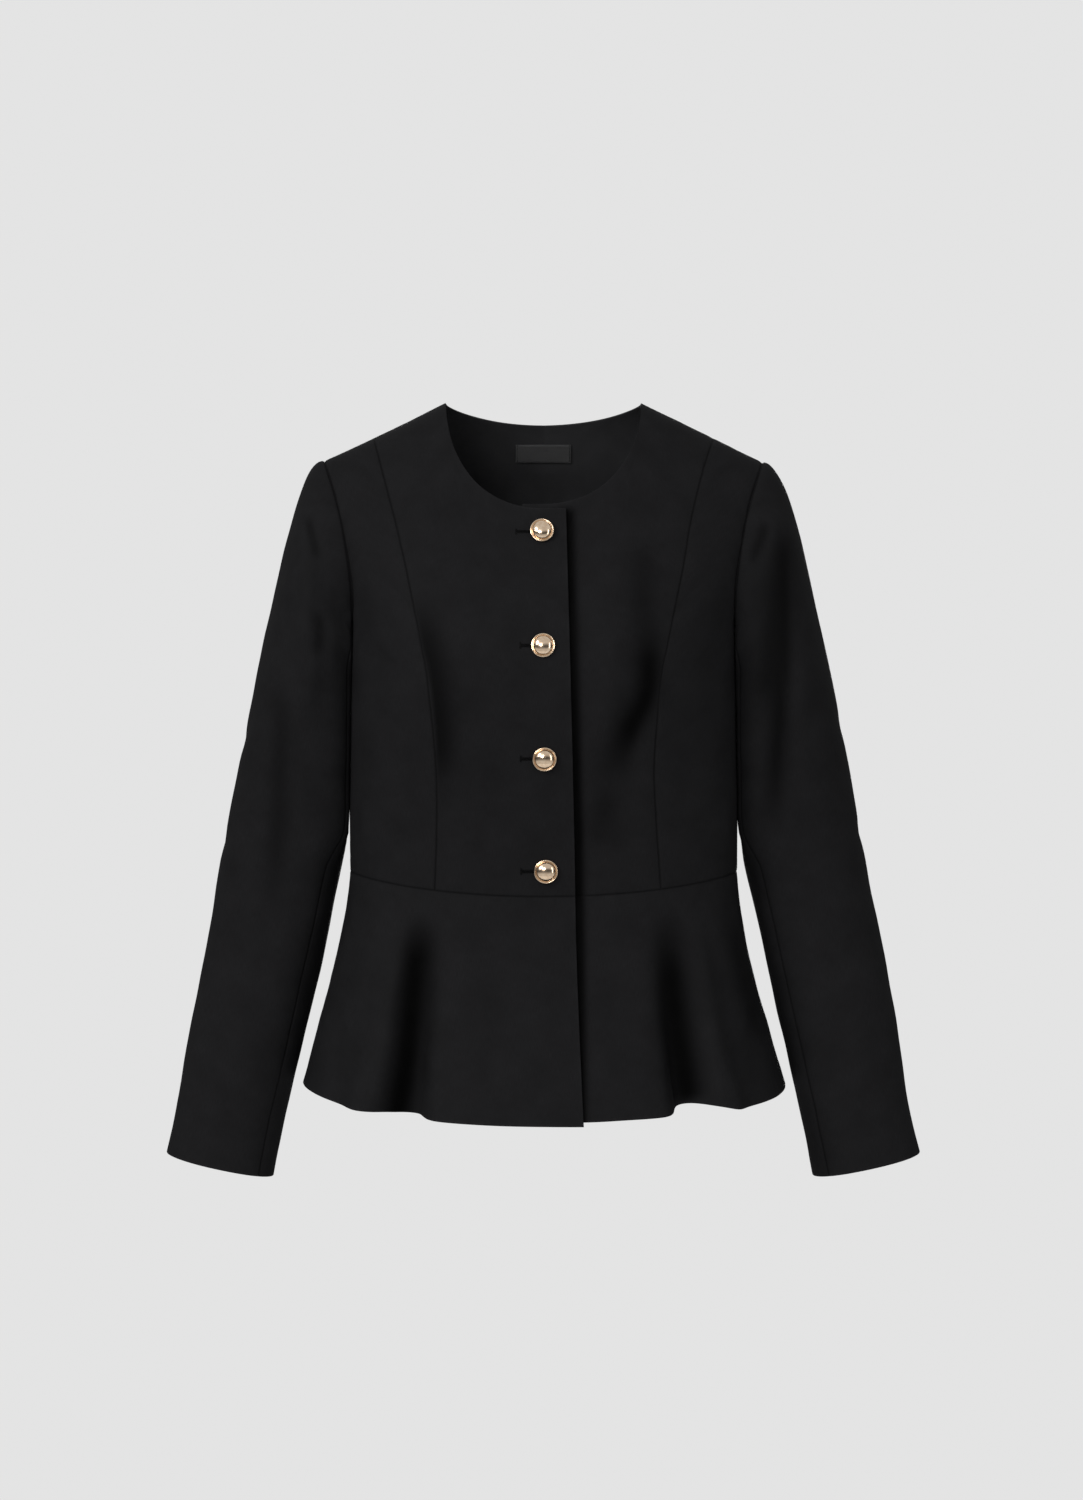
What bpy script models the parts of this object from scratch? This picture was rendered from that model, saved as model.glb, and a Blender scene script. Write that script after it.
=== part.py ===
# Peplum jacket: cloth walls lofted through sections, four domed buttons and a bare neck label.
# Metres, +Z up. The wearer faces -Y, so the wearer's right is at -X and the left at +X.
# The origin lies midway between the two points where the neckline meets the shoulder seams.

from math import asin, cos, degrees, exp, pi, radians, sin, sqrt

import bpy
from mathutils import Vector

MM = 0.001

# Driving dimensions
wall_thickness = 1.6 * MM
seam_gap = 0.3 * MM
lap_drop = 2.1 * MM
lap_end = 11
lap_ease = 11
sharp_angle = radians(50)

neck_half_width = 82 * MM
neck_drop = {"right": 90.5 * MM, "left": 86 * MM}
neck_power = 2.2
back_neck_drop = 15.5 * MM
back_neck_power = 0.8
shoulder_half_width = 184 * MM
shoulder_slope = 0.476

front_rounding = 112 * MM
back_rounding = 105 * MM
rounding_power = 2.6
front_power = 2.5
back_power = 2.4

underarm_height = -214 * MM
waist_height = -393 * MM
waist_dip = {"front": 20 * MM, "back": 8 * MM}
waist_dip_power = 1.6

princess_split = -226 * MM
princess_top_x = 143 * MM
edge_foot = -413 * MM
edge_split = -245 * MM
edge_head = -91 * MM
bust = {"x": 86 * MM, "z": -212 * MM, "across": 48 * MM, "down": 62 * MM, "push": 6 * MM}
cup_fade = 0.5
fold_middle = 0.3
fold_end = 0.3

hem_height = -570 * MM
hem_drop = {"right": 31 * MM, "left": 27 * MM, "back": 18 * MM}
hem_power = {"right": 1.3, "left": 0.8, "back": 1.2}
nominal_drop = {"front": 29 * MM, "back": 18 * MM}
flare = {"side": 40.5 * MM, "front": 46 * MM, "back": 52 * MM, "power": 1.4}
wave_start = 0.08
wave_power = 1.2
wave_end = radians(62)

button_radius = 10 * MM
button_heights = (-110.3 * MM, -205.4 * MM, -298.9 * MM, -392 * MM)
button_offsets = (-1.3 * MM, -0.4 * MM, 0.8 * MM, 2.0 * MM)
button_steps = 20
button_gap = 0.45 * MM

label = {"half_width": 23.8 * MM, "top": -31.2 * MM, "bottom": -46.6 * MM}
label_thickness = 1.0 * MM
label_gap = 0.8 * MM

sleeve_stand_off = 0.3 * MM
sleeve_power = 2.2
front_seam_column = 9
back_seam_column = 17

# Sleeve head: how far its curves reach, as shares of their length, and how they lean at the armhole
cap_reach = {"top": 0.13, "beside": 0.30, "low": 0.25, "end": 0.36}
cap_lean = {"top": 0.09, "beside": -0.25, "low": 0.15}
cap_low_power = 1.5
cap_bulge = 4 * MM

# Rows and columns of the cloth walls, and the parts of a peplum column at its waves and beside them
counts = {
    "neck": 8, "shoulder": 4, "side": 6, "back_neck": 5,
    "side_rows": 8, "armhole_rows": 12, "peplum_rows": 6, "cap_rows": 6, "tube_rows": 11,
    "label_rows": 2, "label_columns": 8,
}
around = 2 * counts["armhole_rows"]
wave_parts = 4
plain_parts = 2

# Steps for measuring how the surfaces turn
turn_step = 0.008
height_step = 1.0 * MM
down_step = 0.01
ring_step = 0.02


def table(columns, *rows):
    return {name: [row[k] for row in rows] for k, name in enumerate(columns)}


# Torso sections in millimetres, from the waist up to above the neck
torso = table(
    ("at", "half_width", "front", "back", "side_y"),
    (-430, 162.5, 84, 74, -4),
    (-395, 162.5, 85.5, 74, -4),
    (-340, 162.7, 97, 77, -3),
    (-260, 163.3, 116, 84, 0),
    (-214, 163.8, 121, 88, 3),
    (-170, 168.5, 112, 91, 5),
    (-140, 178, 99, 90, 7),
    (-107, 192, 82, 86, 8),
    (-75, 205, 68, 78, 9),
    (-50, 213, 60, 70, 10),
    (0, 226, 50, 58, 12),
    (40, 232, 42, 46, 12),
)

# Armhole between the shoulder point and the underarm, from the top down, in millimetres
armhole = table(
    ("at", "front_x", "back_x"),
    (-77, 174.8, 176),
    (-107, 167.5, 171),
    (-140, 162, 166),
    (-172, 159.6, 163),
    (-200, 160.3, 163.2),
)

# Distance of each princess seam from the centre front, in millimetres
princess = table(
    ("at", "right", "left"),
    (-410, 90, 97.5),
    (-343, 88.6, 93.5),
    (-300, 89.3, 92),
    (-238, 95.5, 97),
    (-200, 102, 104),
    (-144, 113.5, 115.5),
    (-107, 122, 121.5),
    (-60, 134.5, 133),
    (-29, 143, 143),
)

# Distance of the front edges past the centre front, in millimetres
front_edge = table(
    ("at", "right", "left"),
    (-601, 27.5, 20),
    (-413, 26.5, 20),
    (-91, 18.9, 18),
)

# Sleeve sections in millimetres, from the underarm to the cuff
sleeve = table(
    ("outer_x", "outer_z", "inner_x", "inner_z", "half_depth", "y", "inner_power"),
    (237.8, -212, 165.8, -232, 58, 7, 3.6),
    (246.9, -252, 165.8, -275, 54, 9, 3.4),
    (255.8, -300, 165.8, -322, 49, 12, 3.1),
    (264.1, -345, 166.0, -367, 44, 13, 2.8),
    (273.2, -395, 175.6, -417, 40, 12, 2.6),
    (283.1, -450, 187.4, -472, 37, 9, 2.4),
    (293.9, -510, 201.1, -532, 35, 5, 2.3),
    (304.8, -570, 214.4, -591, 33, 1, 2.2),
    (315.6, -629, 226.7, -648, 31, -3, 2.2),
)
cuff_front_drop = 4 * MM

# Soft folds of the bodice front: two ends (x, z), half width and depth in millimetres
bodice_folds = (
    {"from": (84, -175), "to": (56, -310), "spread": 15, "depth": 3.2},
    {"from": (-86, -160), "to": (-78, -300), "spread": 10, "depth": 1.6},
)

# Waves of the peplum: degrees round the body, spread in degrees and push outwards in millimetres
peplum_waves = (
    {"turn": -47, "spread": 6.5, "push": 10},
    {"turn": -36, "spread": 6.0, "push": -22},
    {"turn": 39, "spread": 5.5, "push": -24},
    {"turn": 49, "spread": 5.5, "push": 9},
    {"turn": 127, "spread": 7.0, "push": 8},
    {"turn": 140, "spread": 6.5, "push": -21},
    {"turn": 180, "spread": 13.0, "push": 5},
    {"turn": 216, "spread": 7.0, "push": -18},
    {"turn": 229, "spread": 7.5, "push": 9},
)

# Lift of the hem under the front valleys: degrees, spread in degrees and lift in millimetres
hem_lifts = (
    {"turn": -37, "spread": 5.0, "lift": 2.5},
    {"turn": 41, "spread": 6.0, "lift": 8.0},
)

cloth_colour = (0.012, 0.012, 0.014, 1.0)
gold_colour = (0.80, 0.52, 0.26, 1.0)
label_colour = (0.008, 0.008, 0.009, 1.0)
cloth_roughness = 0.85
gold_roughness = 0.28


# Curves and tables

def read(source, name, at):
    # Value of a column at a place between its rows, in metres, on a smooth curve through the rows.
    keys = source["at"]
    values = source[name]
    place = min(max(at / MM, keys[0]), keys[-1])
    last = len(keys) - 1
    k = max(i for i in range(last) if place >= keys[i])

    def slope(i):
        low = max(i - 1, 0)
        high = min(i + 1, last)
        return (values[high] - values[low]) / (keys[high] - keys[low])

    span = keys[k + 1] - keys[k]
    t = (place - keys[k]) / span
    return hermite(values[k], values[k + 1], slope(k) * span, slope(k + 1) * span, t) * MM


def hermite(start, end, start_slope, end_slope, t):
    rise = t * t * (3 - 2 * t)
    return start * (1 - rise) + end * rise + start_slope * t * (1 - t) ** 2 - end_slope * t * t * (1 - t)


def through(points, t):
    # Smooth curve through a list of tuples, with t from 0 at the first to 1 at the last.
    last = len(points) - 1
    place = min(max(t, 0.0), 1.0) * last
    k = min(int(place), last - 1)
    before = points[max(k - 1, 0)]
    after = points[min(k + 2, last)]
    result = []
    for axis in range(len(points[0])):
        a, b = points[k][axis], points[k + 1][axis]
        result.append(hermite(a, b, (b - before[axis]) / 2, (after[axis] - a) / 2, place - k))
    return result


def soft_step(t):
    t = min(max(t, 0.0), 1.0)
    return t * t * (3 - 2 * t)


def bell(distance, spread):
    return exp(-((distance / spread) ** 2))


def spread_evenly(curve, count, samples=240):
    # Values of a curve of surface places, at equal steps along its real length.
    places = [curve(i / samples) for i in range(samples + 1)]
    points = [torso_point(*place) for place in places]
    lengths = [0.0]
    for a, b in zip(points, points[1:]):
        lengths.append(lengths[-1] + (b - a).length)
    result = []
    k = 0
    for step in range(count + 1):
        target = lengths[-1] * step / count
        while k < samples - 1 and lengths[k + 1] < target:
            k += 1
        part = (target - lengths[k]) / max(lengths[k + 1] - lengths[k], 1e-9)
        result.append(curve((k + min(max(part, 0.0), 1.0)) / samples))
    return result


# Torso surface

def shoulder_line(x):
    return -shoulder_slope * (abs(x) - neck_half_width)


def turn_at(x, z):
    return asin(min(abs(x) / read(torso, "half_width", z), 1.0))


def fold_relief(x, z):
    depth = 0.0
    for fold in bodice_folds:
        start = Vector(fold["from"]) * MM
        run = Vector(fold["to"]) * MM - start
        place = Vector((x, z)) - start
        along = place.dot(run) / run.length_squared
        aside = place - run * along
        ends = bell(max(abs(along - 0.5) - fold_middle, 0.0), fold_end)
        depth += fold["depth"] * MM * ends * bell(aside.length, fold["spread"] * MM)
    return depth


def torso_point(turn, z):
    # Outer point of the body at an angle round it, in radians from the centre front, and a height.
    x = read(torso, "half_width", z) * sin(turn)
    front = cos(turn) >= 0
    power = front_power if front else back_power
    share = max(1 - abs(sin(turn)) ** power, 0.0) ** (1 / power)
    rounding = front_rounding if front else back_rounding
    below = min(max((shoulder_line(x) - z) / rounding, 0.0), 1.0)
    roof = (1 - (1 - below) ** rounding_power) ** (1 / rounding_power)
    depth = read(torso, "front" if front else "back", z) * share * roof
    side_y = read(torso, "side_y", z)
    if not front:
        return Vector((x, side_y + depth, z))
    cup = bust["push"] * bell(abs(x) - bust["x"], bust["across"]) * bell(z - bust["z"], bust["down"])
    away = soft_step(share / cup_fade)
    return Vector((x, side_y - depth - (cup - fold_relief(x, z)) * away, z))


def surface_normal(point_at, u, v, step_u, step_v):
    across = point_at(u + step_u, v) - point_at(u - step_u, v)
    along = point_at(u, v + step_v) - point_at(u, v - step_v)
    return across.cross(along).normalized()


def torso_normal(turn, z):
    return surface_normal(torso_point, turn, z, turn_step, height_step)


def level_normal(turn):
    # Outward normal at the waist seam, kept level so that the body and the peplum share it.
    z = waist_line(turn)
    across = torso_point(turn + turn_step, z) - torso_point(turn - turn_step, z)
    return Vector((across.y, -across.x, 0.0)).normalized()


def shoulder_normal(side):
    return Vector((side * shoulder_slope, 0.0, 1.0)).normalized()


def waist_line(turn):
    dip = waist_dip["front" if cos(turn) >= 0 else "back"]
    return waist_height - dip * abs(cos(turn)) ** waist_dip_power


# Cut lines on the torso, as (turn, height), with turn counted from the centre front towards either side

def princess_place(hand, z):
    return turn_at(read(princess, hand, z), z), z


def princess_rows(hand):
    # Up the princess seam, from where it meets the waist seam to the shoulder.
    low = waist_height
    for _ in range(4):
        low = waist_line(princess_place(hand, low)[0])
    rows = rows_up(low, princess_split, shoulder_line(princess_top_x), lambda z: princess_place(hand, z))
    rows[-1] = shoulder_place(princess_top_x, True)
    return rows


def edge_place(hand, z):
    return -turn_at(read(front_edge, hand, z), z), z


def neckline_place(hand, angle):
    x = neck_half_width * sin(angle)
    z = -neck_drop[hand] * sqrt(max(1 - max(sin(angle), 0.0) ** neck_power, 0.0))
    turn = turn_at(x, z)
    return (turn if x >= 0 else -turn), z


def back_neckline_place(share):
    x = neck_half_width * sin(share * pi / 2)
    z = -back_neck_drop * max(1 - (x / neck_half_width) ** 2, 0.0) ** back_neck_power
    return pi - turn_at(x, z), z


def shoulder_place(x, front):
    z = shoulder_line(x)
    turn = turn_at(x, z)
    return (turn if front else pi - turn), z


def armhole_place(t):
    # From the shoulder point down the front at t = 0 to the back of the shoulder point at t = 1.
    places = [shoulder_place(shoulder_half_width, True)]
    for z, x in zip(armhole["at"], armhole["front_x"]):
        places.append((turn_at(x * MM, z * MM), z * MM))
    places.append((pi / 2, underarm_height))
    for z, x in zip(armhole["at"][::-1], armhole["back_x"][::-1]):
        places.append((pi - turn_at(x * MM, z * MM), z * MM))
    places.append(shoulder_place(shoulder_half_width, False))
    return tuple(through(places, t))


def armhole_places():
    rows = counts["armhole_rows"]
    front = spread_evenly(lambda t: armhole_place(t / 2), rows)
    back = spread_evenly(lambda t: armhole_place(0.5 + t / 2), rows)
    return front, back


def rows_up(low, middle, high, place):
    # Places up a cut line, with the side seam's rows in its lower part and the armhole's above.
    lower = spread_evenly(lambda t: place(low + (middle - low) * t), counts["side_rows"])
    upper = spread_evenly(lambda t: place(middle + (high - middle) * t), counts["armhole_rows"])
    return lower + upper[1:]


def coons(bottom, top, left, right):
    # Places inside four boundaries, as rows from the bottom to the top.
    columns = len(bottom) - 1
    rows = len(left) - 1
    grid = []
    for j in range(rows + 1):
        v = j / rows
        line = []
        for i in range(columns + 1):
            u = i / columns
            place = []
            for k in range(2):
                across = (1 - u) * left[j][k] + u * right[j][k]
                up = (1 - v) * bottom[i][k] + v * top[i][k]
                low = (1 - u) * bottom[0][k] + u * bottom[-1][k]
                high = (1 - u) * top[0][k] + u * top[-1][k]
                place.append(across + up - (1 - v) * low - v * high)
            line.append(tuple(place))
        grid.append(line)
    return grid


def even(start, end, count):
    return [start + (end - start) * i / count for i in range(count + 1)]


def waist_places(start, end, count):
    return [(turn, waist_line(turn)) for turn in even(start, end, count)]


def side_boundary(armhole_rows):
    z = waist_line(pi / 2)
    seam = [(pi / 2, height) for height in even(z, underarm_height, counts["side_rows"])]
    return seam + armhole_rows[1:]


def front_centre_places(hand):
    foot_turn = edge_place(hand, edge_foot)[0]
    edge_low = (foot_turn, waist_line(foot_turn))
    first = asin(-read(front_edge, hand, edge_head) / neck_half_width)
    edge_high = neckline_place(hand, first)
    left = rows_up(edge_low[1], edge_split, edge_high[1], lambda z: edge_place(hand, z))
    left[0] = edge_low
    left[-1] = edge_high
    right = princess_rows(hand)
    top = [neckline_place(hand, angle) for angle in even(first, pi / 2, counts["neck"])]
    top += [shoulder_place(x, True) for x in even(neck_half_width, princess_top_x, counts["shoulder"])[1:]]
    bottom = waist_places(left[0][0], right[0][0], counts["neck"] + counts["shoulder"])
    return coons(bottom, top, left, right)


def front_side_places(hand):
    left = princess_rows(hand)
    front, _ = armhole_places()
    right = side_boundary(front[::-1])
    top = [shoulder_place(x, True) for x in even(princess_top_x, shoulder_half_width, counts["side"])]
    bottom = waist_places(left[0][0], pi / 2, counts["side"])
    return coons(bottom, top, left, right)


def back_places():
    _, back = armhole_places()
    left = side_boundary(back)
    right = rows_up(waist_line(pi), princess_split, -back_neck_drop, lambda z: (pi, z))
    top = [shoulder_place(x, False) for x in even(shoulder_half_width, princess_top_x, counts["side"])]
    top += [shoulder_place(x, False) for x in even(princess_top_x, neck_half_width, counts["shoulder"])[1:]]
    top += [back_neckline_place(share) for share in even(1.0, 0.0, counts["back_neck"])[1:]]
    bottom = waist_places(pi / 2, pi, len(top) - 1)
    return coons(bottom, top, left, right)


def lap_inset(turn, hand):
    # How far the left front lies under the right one, easing to nothing beyond the overlap.
    if hand == "right":
        return 0.0
    return lap_drop * (1 - soft_step((degrees(turn) - lap_end) / lap_ease))


# Peplum surface

def hem_line(turn):
    angle = degrees(turn)
    if cos(turn) < 0:
        part = "back"
    else:
        part = "left" if turn >= 0 else "right"
    height = hem_height - hem_drop[part] * abs(cos(turn)) ** hem_power[part]
    for lift in hem_lifts:
        height += lift["lift"] * MM * bell(angle - lift["turn"], lift["spread"])
    return height


def wave_push(turn):
    angle = degrees(turn)
    total = 0.0
    for wave in peplum_waves:
        gap = (angle - wave["turn"] + 180) % 360 - 180
        total += wave["push"] * MM * bell(gap, wave["spread"])
    return total


def peplum_point(turn, down, hand):
    # Outer point of the peplum: down runs from 0 at the waist seam to 1 at the hem.
    top = torso_point(turn, waist_line(turn))
    own_side = {"right": min(turn, -1e-6), "left": max(turn, 0.0)}[hand]
    z = top.z + (hem_line(own_side) - top.z) * down
    facing = "front" if cos(turn) >= 0 else "back"
    share = (top.z - z) / (top.z - hem_height + nominal_drop[facing] * abs(cos(turn)))
    spread = max(share, 0.0) ** flare["power"]
    fade = max((share - wave_start) / (1 - wave_start), 0.0) ** wave_power
    push = wave_push(turn) * fade
    x = top.x + sin(turn) * (flare["side"] * spread + push)
    y = top.y - cos(turn) * (flare[facing] * spread + push)
    return Vector((x, y, z))


# Walls

def edge_inset(outer, j, i, dj, di, amount):
    # Step from an edge point into its panel, square to the edge.
    inside = outer[j + dj][i + di] - outer[j][i]
    if dj:
        run = outer[j][min(i + 1, len(outer[j]) - 1)] - outer[j][max(i - 1, 0)]
    else:
        run = outer[min(j + 1, len(outer) - 1)][i] - outer[max(j - 1, 0)][i]
    inside -= run * (inside.dot(run) / run.length_squared)
    return inside.normalized() * amount


def add_wall(collection, name, outer, normals, thickness, colour, inset=seam_gap / 2, open_top=False):
    # Closed wall between a grid of outer points and the same grid moved in along its normals.
    rows = len(outer)
    columns = len(outer[0])
    shift = [[Vector() for _ in range(columns)] for _ in range(rows)]
    for i in range(columns):
        shift[0][i] += edge_inset(outer, 0, i, 1, 0, 0.0 if open_top else inset)
        shift[-1][i] += edge_inset(outer, rows - 1, i, -1, 0, inset)
    for j in range(rows):
        shift[j][0] += edge_inset(outer, j, 0, 0, 1, inset)
        shift[j][-1] += edge_inset(outer, j, columns - 1, 0, -1, inset)
    vertices = []
    for depth in (0.0, thickness):
        for j in range(rows):
            for i in range(columns):
                vertices.append(outer[j][i] + shift[j][i] - normals[j][i] * depth)

    def index(layer, j, i):
        return layer * rows * columns + j * columns + i

    faces = []
    for j in range(rows - 1):
        for i in range(columns - 1):
            quad = ((j, i), (j, i + 1), (j + 1, i + 1), (j + 1, i))
            faces.append([index(0, *corner) for corner in quad])
            faces.append([index(1, *corner) for corner in reversed(quad)])
    rim = [(0, i) for i in range(columns)]
    rim += [(j, columns - 1) for j in range(1, rows)]
    rim += [(rows - 1, i) for i in range(columns - 2, -1, -1)]
    rim += [(j, 0) for j in range(rows - 2, 0, -1)]
    for a, b in zip(rim, rim[1:] + rim[:1]):
        faces.append([index(0, *b), index(0, *a), index(1, *a), index(1, *b)])
    if signed_volume(vertices, faces) < 0:
        faces = [face[::-1] for face in faces]
    mesh = bpy.data.meshes.new(name)
    mesh.from_pydata([tuple(point) for point in vertices], [], faces)
    mesh.update()
    mesh.shade_smooth()
    mesh.set_sharp_from_angle(angle=sharp_angle)
    return add_object(collection, name, mesh, colour, cloth_roughness, 0.0)


def signed_volume(vertices, faces):
    total = 0.0
    for face in faces:
        first = vertices[face[0]]
        for b, c in zip(face[1:], face[2:]):
            total += first.dot(vertices[b].cross(vertices[c]))
    return total


def add_object(collection, name, mesh, colour, roughness, metallic):
    thing = bpy.data.objects.new(name, mesh)
    collection.objects.link(thing)
    material = bpy.data.materials.new(name + "_finish")
    material.use_nodes = True
    shader = material.node_tree.nodes["Principled BSDF"]
    shader.inputs["Base Color"].default_value = colour
    shader.inputs["Roughness"].default_value = roughness
    shader.inputs["Metallic"].default_value = metallic
    material.diffuse_color = colour
    mesh.materials.append(material)
    return thing


def add_torso_panel(collection, name, hand, places):
    side = 1 if hand == "left" else -1
    outer = []
    normals = []
    for j, line in enumerate(places):
        outer.append([])
        normals.append([])
        for turn, z in line:
            normal = torso_normal(side * turn, z)
            if j == 0:
                normal = level_normal(side * turn)
            elif j == len(places) - 1 and abs(z - shoulder_line(torso_point(turn, z).x)) < 1e-6:
                normal = shoulder_normal(side)
            outer[-1].append(torso_point(side * turn, z) - normal * lap_inset(turn, hand))
            normals[-1].append(normal)
    return add_wall(collection, name, outer, normals, wall_thickness, cloth_colour)


def peplum_grid(hand, turns, whole):
    # Rows of outer points and normals; turns that are not whole columns of the body start on its chords.
    side = 1 if hand == "left" else -1
    outer = []
    normals = []

    def point_at(angle, down):
        return peplum_point(angle, down, hand)

    for down in even(0.0, 1.0, counts["peplum_rows"]):
        line = []
        line_normals = []
        for turn in turns:
            angle = side * turn
            if down == 0.0:
                normal = level_normal(angle)
            else:
                normal = surface_normal(point_at, angle, down, turn_step, down_step)
                normal = normal if normal.dot(level_normal(angle)) > 0 else -normal
            line.append(point_at(angle, down) - normal * lap_inset(turn, hand))
            line_normals.append(normal)
        outer.append(line)
        normals.append(line_normals)
    marks = [i for i, is_whole in enumerate(whole) if is_whole]
    for a, b in zip(marks, marks[1:]):
        for i in range(a + 1, b):
            t = (i - a) / (b - a)
            outer[0][i] = outer[0][a].lerp(outer[0][b], t)
            normals[0][i] = normals[0][a].lerp(normals[0][b], t).normalized()
    return outer, normals


def divided(turns, parts_of):
    # The body's columns divided into the parts that parts_of gives, and which of the turns are whole.
    result = [turns[0]]
    whole = [True]
    for a, b in zip(turns, turns[1:]):
        parts = parts_of((a + b) / 2)
        result += even(a, b, parts)[1:]
        whole += [False] * (parts - 1) + [True]
    return result, whole


def add_peplum_front(collection, name, hand, centre, side_panel):
    turns = [place[0] for place in centre[0]] + [place[0] for place in side_panel[0][1:]]
    last_centre = centre[0][-1][0]

    def parts_of(turn):
        if turn < last_centre:
            return 1
        return wave_parts if turn < wave_end else plain_parts

    turns, whole = divided(turns, parts_of)
    outer, normals = peplum_grid(hand, turns, whole)
    return add_wall(collection, name, outer, normals, wall_thickness, cloth_colour)


def add_peplum_back(collection, name, places):
    turns = [place[0] for place in places[0]]
    turns += [2 * pi - turn for turn in turns[-2::-1]]
    turns, whole = divided(turns, lambda turn: plain_parts)
    outer, normals = peplum_grid("left", turns, whole)
    return add_wall(collection, name, outer, normals, wall_thickness, cloth_colour)


# Sleeves

def ring_point(side, position, angle):
    # Point of a sleeve section: angle 0 is the outer side, pi / 2 the front and pi the inner side.
    rows = list(zip(*sleeve.values()))
    *sizes, inner_power = through(rows, position)
    outer_x, outer_z, inner_x, inner_z, half_depth, y = (size * MM for size in sizes)
    across = cos(angle)
    power = sleeve_power if across >= 0 else inner_power
    share = abs(across) ** (2 / power) * (1 if across >= 0 else -1)
    forward = abs(sin(angle)) ** (2 / power) * (1 if sin(angle) >= 0 else -1)
    x = (outer_x + inner_x) / 2 + (outer_x - inner_x) / 2 * share
    z = (outer_z + inner_z) / 2 + (outer_z - inner_z) / 2 * share
    z -= cuff_front_drop * forward * soft_step(position * 2 - 1)
    return Vector((side * x, y - half_depth * forward, z))


def cap_point(side, armhole_point, angle, t):
    # Point of the sleeve head, on a curve from the armhole to the first whole section.
    start = armhole_point + Vector((side * sleeve_stand_off, 0, 0))
    end = ring_point(side, 0.0, angle)
    reach = (end - start).length
    top = max(cos(angle), 0.0)
    low = max(-cos(angle), 0.0) ** cap_low_power
    beside = max(1 - top - low, 0.0)
    leave = Vector((side, 0, cap_lean["top"])) * top
    leave += Vector((side, 0, cap_lean["beside"])) * beside
    leave += Vector((side * cap_lean["low"], 0, -1)) * low
    share = cap_reach["top"] * top + cap_reach["beside"] * beside + cap_reach["low"] * low
    leave = leave.normalized() * reach * share
    leave.y -= cap_bulge * sin(angle)
    arrive = (ring_point(side, ring_step, angle) - end).normalized() * reach * cap_reach["end"]
    b, c = start + leave, end - arrive
    return start * (1 - t) ** 3 + b * (3 * t * (1 - t) ** 2) + c * (3 * t * t * (1 - t)) + end * t ** 3


def sleeve_grid(side):
    front, back = armhole_places()
    loop = [torso_point(side * turn, z) for turn, z in front + back[1:-1]]
    grid = []
    for t in even(0.0, 1.0, counts["cap_rows"]):
        grid.append([cap_point(side, loop[i], 2 * pi * i / around, t) for i in range(around)])
    for position in even(0.0, 1.0, counts["tube_rows"])[1:]:
        grid.append([ring_point(side, position, 2 * pi * i / around) for i in range(around)])
    normals = []
    for j in range(len(grid)):
        line = []
        above = grid[max(j - 1, 0)]
        below = grid[min(j + 1, len(grid) - 1)]
        for i in range(around):
            across = grid[j][(i + 1) % around] - grid[j][i - 1]
            line.append(across.cross(below[i] - above[i]).normalized() * side)
        normals.append(line)
    return grid, normals


def add_sleeve(collection, hand):
    side = 1 if hand == "left" else -1
    grid, normals = sleeve_grid(side)
    upper = [i % around for i in range(back_seam_column - around, front_seam_column + 1)]
    under = list(range(front_seam_column, back_seam_column + 1))
    for part, columns in (("upper", upper), ("under", under)):
        name = f"sleeve_{hand}_{part}"
        outer = [[line[i] for i in columns] for line in grid]
        inward = [[line[i] for i in columns] for line in normals]
        add_wall(collection, name, outer, inward, wall_thickness, cloth_colour, open_top=True)


# Buttons and label

def button_mesh(name):
    profile = (
        (0.0, 6.2), (2.8, 5.9), (5.4, 4.9), (7.4, 3.3), (8.3, 1.9), (9.5, 1.9), (10.0, 1.4), (10.0, 0.5),
        (9.5, 0.0), (0.0, 0.0),
    )
    mesh = bpy.data.meshes.new(name)
    scale = button_radius / 10
    points = [(radius * scale, 0.0, height * scale) for radius, height in profile]
    mesh.from_pydata(points, [(i, i + 1) for i in range(len(points) - 1)], [])
    return mesh


def add_button(collection, number, x, z):
    name = f"button_{number}"
    turn = asin(x / read(torso, "half_width", z))
    normal = torso_normal(turn, z)
    normal = normal if normal.y < 0 else -normal
    thing = add_object(collection, name, button_mesh(name), gold_colour, gold_roughness, 1.0)
    seat = torso_point(turn, z)
    reach = button_radius / read(torso, "half_width", z)
    rim = [
        torso_point(turn + reach * cos(angle), z + button_radius * sin(angle))
        for angle in even(0.0, 2 * pi, button_steps)
    ]
    rise = max(normal.dot(point - seat) for point in rim)
    thing.location = seat + normal * (max(rise, 0.0) + button_gap)
    thing.rotation_mode = "QUATERNION"
    thing.rotation_quaternion = Vector((0, 0, 1)).rotation_difference(normal)
    turned = thing.modifiers.new("turned", "SCREW")
    turned.steps = button_steps
    turned.render_steps = button_steps
    turned.use_merge_vertices = True
    turned.merge_threshold = 0.00005
    turned.use_smooth_shade = True


def add_label(collection):
    outer = []
    normals = []
    for z in even(label["top"], label["bottom"], counts["label_rows"]):
        line = []
        line_normals = []
        for x in even(-label["half_width"], label["half_width"], counts["label_columns"]):
            turn = pi - asin(x / read(torso, "half_width", z))
            normal = torso_normal(turn, z)
            normal = normal if normal.y > 0 else -normal
            line.append(torso_point(turn, z) - normal * (wall_thickness + label_gap))
            line_normals.append(normal)
        outer.append(line)
        normals.append(line_normals)
    add_wall(collection, "neck_label", outer, normals, label_thickness, label_colour)


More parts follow.
